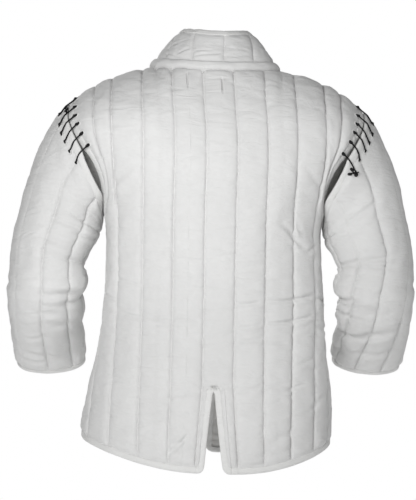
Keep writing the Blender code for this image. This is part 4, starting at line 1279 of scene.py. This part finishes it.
def bias_tape(name, inside, outside, away, nodes, closed=False, seed=0, wider=None):
    """A soft folded tape along an edge; returns the line of its topstitching."""
    inside, outside = softened(inside, closed), softened(outside, closed)
    middle, off, out = edge_frames(inside, outside, away, closed)
    off = unit(softened(off, closed, 3))
    run = np.linalg.norm(np.diff(middle, axis=0, prepend=middle[:1]), axis=-1).cumsum()
    swell = 1 + 0.07 * patchy(run / 0.0055, 0.0, 81 + seed) + 0.05 * patchy(run / 0.03, 0.0, 82 + seed)
    half = (np.linalg.norm(outside - inside, axis=-1) / 2 + TAPE_PROUD) * swell
    section = np.array(TAPE_SECTION)
    reach = np.repeat(section[None, :, 0], len(middle), 0)
    if wider is not None:
        reach = reach + np.clip(section[None, :, 0] / BINDING, 0, 1) * wider[:, None]
    loops = middle[:, None] + off[:, None] * reach[..., None]
    loops = loops + out[:, None] * (half[:, None] * section[None, :, 1])[..., None]
    girth = np.linalg.norm(np.diff(section * (1, 0.0025), axis=0, prepend=section[:1]), axis=-1).cumsum()
    uv = np.stack(np.broadcast_arrays(girth[None, :], run[:, None]), -1)
    faces = tube_quads(len(loops), len(section), closed)
    piece = make_piece(name, loops.reshape(-1, 3), faces, uv.reshape(-1, 2), (tape,))
    shown.append((piece, nodes, "cotton_tape", False))
    stitched = middle + off * (-LAP + 0.0014) + out * (half[:, None] * 1.05)
    return {"points": stitched, "out": out, "closed": closed}


def body_edge(side):
    """The edge of a side's panels: down the front, round the hem and up to the top of the vent."""
    sign = SIDES[side]["sign"]
    back, front = panels["back"], panels[f"front_{side}"]
    middle, apex = back["middle"] + (sign > 0), back["apex"]
    own = slice(middle, None) if sign > 0 else slice(middle, None, -1)
    lines, away = {}, []
    for key in ("inside", "outside"):
        before, behind = front[key], back[key][:, own]
        hem = np.concatenate([before[-1, 1:-1], behind[-1, :0:-1]])
        lines[key] = np.concatenate([before[:, 0], hem, behind[: apex - 1 : -1, 0]])
    rows, hem_count = len(front["v"]), len(hem)
    away = [(-sign, 0, 0)] * (rows - 1) + [(-sign, 0, -1)] + [(0, 0, -1)] * hem_count
    away += [(-sign, 0, 0)] * (len(lines["inside"]) - len(away))
    return lines["inside"], lines["outside"], np.array(away, float)


topstitch = []
for side in SIDES:
    node = f"edge_binding_{side}"
    topstitch.append(bias_tape(f"edge_tape_{side}", *body_edge(side), [node], seed=SIDES[side]["sign"]))
top_away = np.tile((0.0, 0.0, 1.0), (COLLAR_COLUMNS, 1))
topstitch.append(
    bias_tape("collar_tape", collar_panel["inside"][-1], collar_panel["outside"][-1], top_away, ["collar_binding"])
)
for side, panel in sleeves.items():
    up, down = panel["inside"][0] - panel["inside"][3], panel["inside"][-1] - panel["inside"][-4]
    for place, row, away in (("sleeve_head", 0, up), ("cuff", -1, down)):
        edge = (panel["inside"][row], panel["outside"][row], away)
        node = f"{place}_binding_{side}"
        wider = closing(panel["angle"]) if place == "sleeve_head" else None
        made = bias_tape(f"{place}_tape_{side}", *edge, [node], closed=True, seed=3, wider=wider)
        topstitch.append(made)
    rows = panels["back"]["v"] <= 2 + 1e-9
    sign = SIDES[side]["sign"]
    loop = []
    for key in ("inside", "outside"):
        behind = panels["back"][key][rows][:, -1 if sign > 0 else 0].copy()
        before = panels[f"front_{side}"][key][rows][:, -1]
        behind[[0, -1]] = (behind[[0, -1]] + before[[0, -1]]) / 2
        loop.append(np.concatenate([behind, before[-2:0:-1]]))
    inward = unit(loop[0].mean(0) - loop[0]) + (sign * 0.7, 0, 0)
    node = f"armhole_binding_{side}"
    highest, lowest = loop[0][:, 2].max(), loop[0][:, 2].min()
    wider = closing(np.degrees(np.arctan2(loop[0][:, 1], loop[0][:, 2] - (highest + lowest) / 2)))
    made = bias_tape(f"armhole_tape_{side}", *loop, inward, [node], closed=True, seed=5, wider=wider)
    topstitch.append(made)
print("tapes:", len(topstitch))

# %% [markdown]
# Each sleeve hangs from its lace. The lace is one thin black cord that goes in and out of stitched
# eyelets, so what shows are slanting stretches, thickest where the cord doubles back through the
# padding. Each stretch bows a little and dives into its eyelet at both ends.

# %% Laces
LACE_ANGLES = (18, 37, 49, 59, 69, 80)
LACE_SLANT = 6
EYELET_INSET = 0.013
FRONT_LACES = (-0.105, -0.185, -0.265, -0.345, -0.425, -0.505)
LACE = 0.0026  # the cord where it is drawn tight
LACE_END = 0.0056  # the cord where it is bunched at an eyelet
LACE_SIDES = 10
LACE_STEPS = 26
DIVE = 0.0045
RAY_START = 0.06


def seated(surface, place, out):
    """The surface's point under a place, seen from outside."""
    found = surface.ray_cast(Vector(place + out * RAY_START), Vector(-out))
    return np.array(found[0]) if found[0] else place


def lace_tube(name, points, out, thickness):
    """A round cord along points, with its UV map round it and along it."""
    along = unit(np.gradient(points, axis=0))
    across = unit(np.cross(along, out))
    up = np.cross(across, along)
    turn = np.arange(LACE_SIDES) * 2 * math.pi / LACE_SIDES
    ring = np.cos(turn)[None, :, None] * across[:, None] + np.sin(turn)[None, :, None] * up[:, None]
    loops = points[:, None] + ring * thickness[:, None, None] / 2
    run = np.linalg.norm(np.diff(points, axis=0, prepend=points[:1]), axis=-1).cumsum()
    uv = np.stack(np.broadcast_arrays(turn[None, :] * LACE / 2, run[:, None]), -1)
    faces = tube_quads(len(loops), LACE_SIDES, closed=False)
    return make_piece(name, loops.reshape(-1, 3), faces, uv.reshape(-1, 2), (lace_black,)), run[-1]


def stretch(name, start, end, out, surface, bow, seed):
    """One stretch of lace between two eyelets, lying over the edges of the cloth."""
    share = np.linspace(0, 1, LACE_STEPS)
    chord = start + share[:, None] * (end - start)
    aside = unit(np.cross(end - start, out))
    chord = chord + aside * (bow * np.sin(math.pi * share) + 0.0006 * patchy(share * 4, 0.0, seed))[:, None]
    ground = np.array([((seated(surface, p, out) - p) * out).sum() for p in chord])
    taut = []
    for i in range(LACE_STEPS):
        over = [
            ground[j] + (ground[k] - ground[j]) * ((i - j) / (k - j) if k > j else 0)
            for j in range(i + 1)
            for k in range(i, LACE_STEPS)
        ]
        taut.append(max(over))
    near_end = np.minimum(share, 1 - share) * np.linalg.norm(end - start)
    dive = DIVE * (1 - eased(near_end / 0.004))
    thick = LACE + (LACE_END - LACE) * np.exp(-((near_end / 0.0052) ** 4))
    thick = thick * (1 + 0.08 * patchy(share * 7, 3.0, seed))
    points = chord + out * (np.array(taut) + thick / 2 - dive)[:, None]
    return lace_tube(name, points, out, thick)


eyelets = []  # place, way out
lace_lengths = {}
for side, setup in SIDES.items():
    own = [piece for piece, *_ in shown if side in piece.name or piece.name == "back_quilted"]
    surface = surface_of(own)
    mirror = (setup["sign"], 1, 1)
    for place, turn in (("back", 1), ("front", -1)):
        for n, angle in enumerate(LACE_ANGLES, 1):
            both = np.array((turn * angle, turn * (angle + LACE_SLANT)), float)
            edge_in, edge_out = round_armhole(side, both), round_armhole(side, both, outer=True)
            rim_points = sleeve_points(np.zeros(2), both) * mirror
            out = unit((edge_out - edge_in).sum(0))
            across = unit(rim_points - edge_in)
            start = edge_in[0] - across[0] * EYELET_INSET
            end = rim_points[1] + across[1] * EYELET_INSET
            name = f"lace_{side}_{place}_{n}"
            bow = turn * setup["sign"] * (0.0028 + 0.0008 * math.sin(2.1 * n + setup["sign"]))
            piece, length = stretch(f"cord_{side}_{place}_{n}", start, end, out, surface, bow, 7 * n)
            shown.append((piece, [name], "black_lace", False))
            lace_lengths[name] = length
            eyelets += [(seated(surface, start, out), out), (seated(surface, end, out), out)]

# The lace's ends are tied: high on the left seam, and with a loop at the right lace's last eyelet
KNOTS = {  # angle round the armhole, share of the way out to the sleeve's eyelet, length and width
    "left": (LACE_ANGLES[0] + 13, 0.3, 0.019, 0.007),
    "right": (LACE_ANGLES[-1] + LACE_SLANT, 1.0, 0.0095, 0.0085),
}
for side, (angle, share, long, wide) in KNOTS.items():
    surface = surface_of([piece for piece, *_ in shown if side in piece.name or piece.name == "back_quilted"])
    both = np.array((angle, angle + LACE_SLANT), float)
    edge_in, edge_out = round_armhole(side, both), round_armhole(side, both, outer=True)
    rim_points = sleeve_points(np.zeros(2), both) * (SIDES[side]["sign"], 1, 1)
    out, seam = unit((edge_out - edge_in).sum(0)), unit(edge_in[1] - edge_in[0])
    across = unit(np.cross(out, seam))
    turn = np.linspace(0, FULL_TURN, 61)[:, None]
    reach = (np.sin(turn) + 2 * np.sin(2 * turn)) * seam * long / 6 - np.sin(3 * turn) * out * LACE / 2
    reach = reach + (np.cos(turn) - 2 * np.cos(2 * turn)) * across * wide / 6
    eyelet = rim_points[0] + unit(rim_points[0] - edge_in[0]) * EYELET_INSET
    place = seated(surface, edge_in[0] + share * (eyelet - edge_in[0]), out)
    knot, _ = lace_tube(f"knot_{side}", place + out * LACE + reach, out, np.full(61, LACE * 0.9))
    shown.append((knot, [], "black_lace", False))
    for strand in (0, 1) if side == "right" else ():
        end = rim_points[1] + (0.9 * strand - 1.1) * (rim_points[1] - rim_points[0]) + across * 0.002
        loop, _ = stretch(f"tie_loop_{strand + 1}", place, end, out, surface, 0.0035 * strand - 0.0015, 3 + strand)
        shown.append((loop, [], "black_lace", False))

front_surface = surface_of([piece for piece, *_ in shown if "front" in piece.name or "edge_tape" in piece.name])
reach = np.array((FRONT_EDGE * CHANNEL + EYELET_INSET, 0, 0))
forward = np.array((0.0, -1.0, 0.0))
for n, height in enumerate(FRONT_LACES, 1):
    centre = np.array((float(smooth(TORSO, "sway", height)), -0.12, height))
    start, end = centre - reach, centre + reach
    piece, length = stretch(f"cord_front_{n}", start, end, forward, front_surface, 0.0008 * (-1) ** n, 5 * n)
    shown.append((piece, [f"front_lace_{n}"], "black_lace", False))
    lace_lengths[f"front_lace_{n}"] = length
    eyelets += [(seated(front_surface, start, forward), forward), (seated(front_surface, end, forward), forward)]
print("laces:", len(lace_lengths), "in all", round(sum(lace_lengths.values()), 3), "m;", len(eyelets), "eyelets")

# %% [markdown]
# An eyelet is a ring of thread sewn over and over through a hole. One is modelled from a torus: its
# faces are pulled in and out by turns, like stitches side by side. The others are copies of its
# mesh, turned to the cloth.

# %% Eyelets
EYELET_WIDTH = 0.0095
EYELET_THREADS = 22
EYELET_RAISED = 0.0011


def eyelet_mesh():
    """Points and faces of one stitched ring, lying in the XY plane."""
    bpy.ops.object.select_all(action="DESELECT")
    bpy.ops.mesh.primitive_torus_add(
        major_segments=2 * EYELET_THREADS,
        minor_segments=6,
        major_radius=EYELET_WIDTH / 2 - 0.0012,
        minor_radius=0.0012,
    )
    ring = bpy.context.object
    points = np.array([v.co for v in ring.data.vertices])
    faces = [tuple(face.vertices) for face in ring.data.polygons]
    around = np.arange(len(points)) // 6
    radial = unit(points * (1, 1, 0))
    points = points + radial * np.where(around % 2 == 0, 0.00022, -0.00012)[:, None]
    points = points * (1, 1, 0.75) + (0, 0, 1) * np.where(around % 2 == 0, 0.00018, -0.00008)[:, None]
    bpy.data.objects.remove(ring)
    return points, np.array(faces)


ring_points, ring_faces = eyelet_mesh()


def turned_to(out):
    """A turn that brings +Z to this way."""
    return np.array(Vector((0, 0, 1)).rotation_difference(Vector(out)).to_matrix())


def joined_copies(points, faces, places, turns):
    """One mesh's points and faces from copies of a small one."""
    all_points = np.concatenate([points @ turn.T + place for place, turn in zip(places, turns)])
    all_faces = np.concatenate([faces + k * len(points) for k in range(len(places))])
    return all_points, all_faces


def add_small(name, points, faces, material):
    """An object of many small copies, smooth shaded, with no UV map of its own."""
    mesh = bpy.data.meshes.new(name)
    mesh.from_pydata(points.tolist(), [], faces.tolist())
    mesh.materials.append(material)
    mesh.shade_smooth()
    piece = bpy.data.objects.new(name, mesh)
    bpy.context.scene.collection.objects.link(piece)
    return piece


eyelet_places = np.array([place + out * EYELET_RAISED * 0.2 for place, out in eyelets])
eyelet_turns = [turned_to(out) for _, out in eyelets]
rings = add_small("eyelets", *joined_copies(ring_points, ring_faces, eyelet_places, eyelet_turns), thread)
print("eyelet faces:", len(rings.data.polygons))

# %% [markdown]
# Stitches. The machine's thread dips into the cloth between two stitches, so each stitch is a short
# curved bead. They run along the bottom of each quilting valley and round every tape. A bead has
# few faces, because there are thousands of them; they are joined into one mesh for each run.

# %% Stitches
STITCH_STEP = 0.0042
STITCH_LONG = 0.0033
STITCH_THICK = 0.00055
STITCH_SIDES = 4


def bead():
    """Points and faces of one stitch along +X: thin at its ends, where it dives into the cloth."""
    place = np.array((-0.5, -0.22, 0.22, 0.5)) * STITCH_LONG
    thick = np.array((0.45, 1.0, 1.0, 0.45)) * STITCH_THICK / 2
    lift = np.array((-0.30, 0.12, 0.12, -0.30)) * STITCH_THICK
    turn = (np.arange(STITCH_SIDES) + 0.5) * 2 * math.pi / STITCH_SIDES
    points = [
        (x, r * math.cos(a), h + r * math.sin(a)) for x, r, h in zip(place, thick, lift) for a in turn
    ]
    faces = tube_quads(4, STITCH_SIDES, closed=False)
    points = np.array(points)
    return points, faces if signed_volume(points, faces) > 0 else faces[:, ::-1]


bead_points, bead_faces = bead()


def even_steps(line, normals, closed=False):
    """Places, directions and normals at even steps along a line."""
    if closed:
        line, normals = np.concatenate([line, line[:1]]), np.concatenate([normals, normals[:1]])
    run = np.linalg.norm(np.diff(line, axis=0, prepend=line[:1]), axis=-1).cumsum()
    at = np.arange(STITCH_STEP / 2, run[-1] - STITCH_STEP / 2, STITCH_STEP)
    at = at + 0.0004 * patchy(at / 0.004, 0.0, 91)
    along = [np.interp(at + d, run, line[:, k]) for d in (-0.0016, 0, 0.0016) for k in range(3)]
    before, here, after = (np.stack(along[3 * j : 3 * j + 3], -1) for j in range(3))
    out = unit(np.stack([np.interp(at, run, normals[:, k]) for k in range(3)], -1))
    return here, unit(after - before), out


def stitched(lines):
    """Points and faces of the stitches along some lines."""
    places, turns = [], []
    for line, normals, closed in lines:
        here, along, out = even_steps(line, normals, closed)
        side = unit(np.cross(out, along))
        out = np.cross(along, side)
        places.append(here)
        turns.append(np.stack([along, side, out], -1))
    return joined_copies(bead_points, bead_faces, np.concatenate(places), np.concatenate(turns))


def valley_lines(panel, skip=(0, 0)):
    """The bottoms of a panel's quilting valleys."""
    c = panel["c"]
    lines = []
    for k in np.flatnonzero(np.abs(c * 1.0 - np.round(c - 0.5) - 0.5) < 1e-6):
        rows = slice(skip[0], len(panel["outside"]) - skip[1])
        lines.append((panel["outside"][rows, k], panel["normal"][rows, k], False))
    return lines


def facing_lines(panel):
    """The lines that hold the vent's facing, on both sides of it."""
    off = np.abs(np.abs(panel["c"] - VENT_AT) - FACING)
    rows = slice(panel["apex"] + 3, len(panel["outside"]) - 4)
    return [(panel["outside"][rows, k], panel["normal"][rows, k], False) for k in np.flatnonzero(off < 1e-6)]


thread_runs = {"facing": facing_lines(panels["back"])}
for name, panel in panels.items():
    thread_runs[name] = valley_lines(panel, (2, 3))
for side, panel in sleeves.items():
    thread_runs[f"sleeve_{side}"] = valley_lines(panel, (2, 3))
for k, tape_line in enumerate(topstitch):
    thread_runs[f"tape_{k}"] = [(tape_line["points"], tape_line["out"], tape_line["closed"])]
bar_and_arch = []

# A bar of close stitches holds the top of the vent, under an arched row of stitches
VENT_BAR = 0.0130
BAR_ROWS = 15
ARCH_WIDE = 0.026
ARCH_HIGH = 0.010
back_surface = surface_of([piece for piece, *_ in shown if piece.name[:4] in ("back", "edge")])
apex_place = panels["back"]["inside"][panels["back"]["apex"], panels["back"]["middle"]]
backward = np.array((0.0, 1.0, 0.0))


def pinned(places):
    """Places moved onto the back's surface, seen from behind."""
    return np.array([seated(back_surface, place, backward) for place in places])


for row in range(BAR_ROWS):
    low = apex_place + (0, 0, 0.0035 - row * 0.00058)
    ends = pinned([low + (side * VENT_BAR / 2, 0, 0) for side in (-1, 1)])
    bar_and_arch.append((ends + backward * 0.0003, np.tile(backward, (2, 1)), False))
arch = np.linspace(0, math.pi, 15)
arch_line = apex_place + np.stack([ARCH_WIDE / 2 * np.cos(arch), 0 * arch, ARCH_HIGH * np.sin(arch) - 0.006], -1)
bar_and_arch.append((pinned(arch_line), np.tile(backward, (15, 1)), False))
thread_runs["vent"] = bar_and_arch
shown.append((rings, [], "cotton_canvas", False))
for kind in ("quilting", "tapes"):
    seams = [line for name, lines in thread_runs.items() for line in lines if ("tape" in name) == (kind == "tapes")]
    stitch_piece = add_small(f"stitches_{kind}", *stitched(seams), thread)
    shown.append((stitch_piece, [], "cotton_canvas", False))
    print(stitch_piece.name, len(stitch_piece.data.polygons) // len(bead_faces))

# %% [markdown]
# The floor is a plain pale disc at the wearer's feet.

# %% Floor
bpy.ops.object.select_all(action="DESELECT")
bpy.ops.mesh.primitive_circle_add(vertices=96, radius=3.6, fill_type="NGON", location=(0, 0, FLOOR_HEIGHT))
floor = bpy.context.object
floor.name = "floor"
floor.data.transform(floor.matrix_world)
floor.matrix_world = Matrix.Identity(4)
floor_finish = Finish("floor_paint", (0.93, 0.93, 0.93), 0.85)
floor_finish.shader.inputs["Emission Color"].default_value = (1, 1, 1, 1)
floor_finish.shader.inputs["Emission Strength"].default_value = 0.34
floor.data.materials.append(floor_finish.material)

# %% [markdown]
# Each piece rides on the one body and stands for its CAD nodes.

# %% Riding and replacing
for piece, nodes, slot_name, soft in shown:
    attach(piece, "root")
    if nodes:
        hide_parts(*nodes)
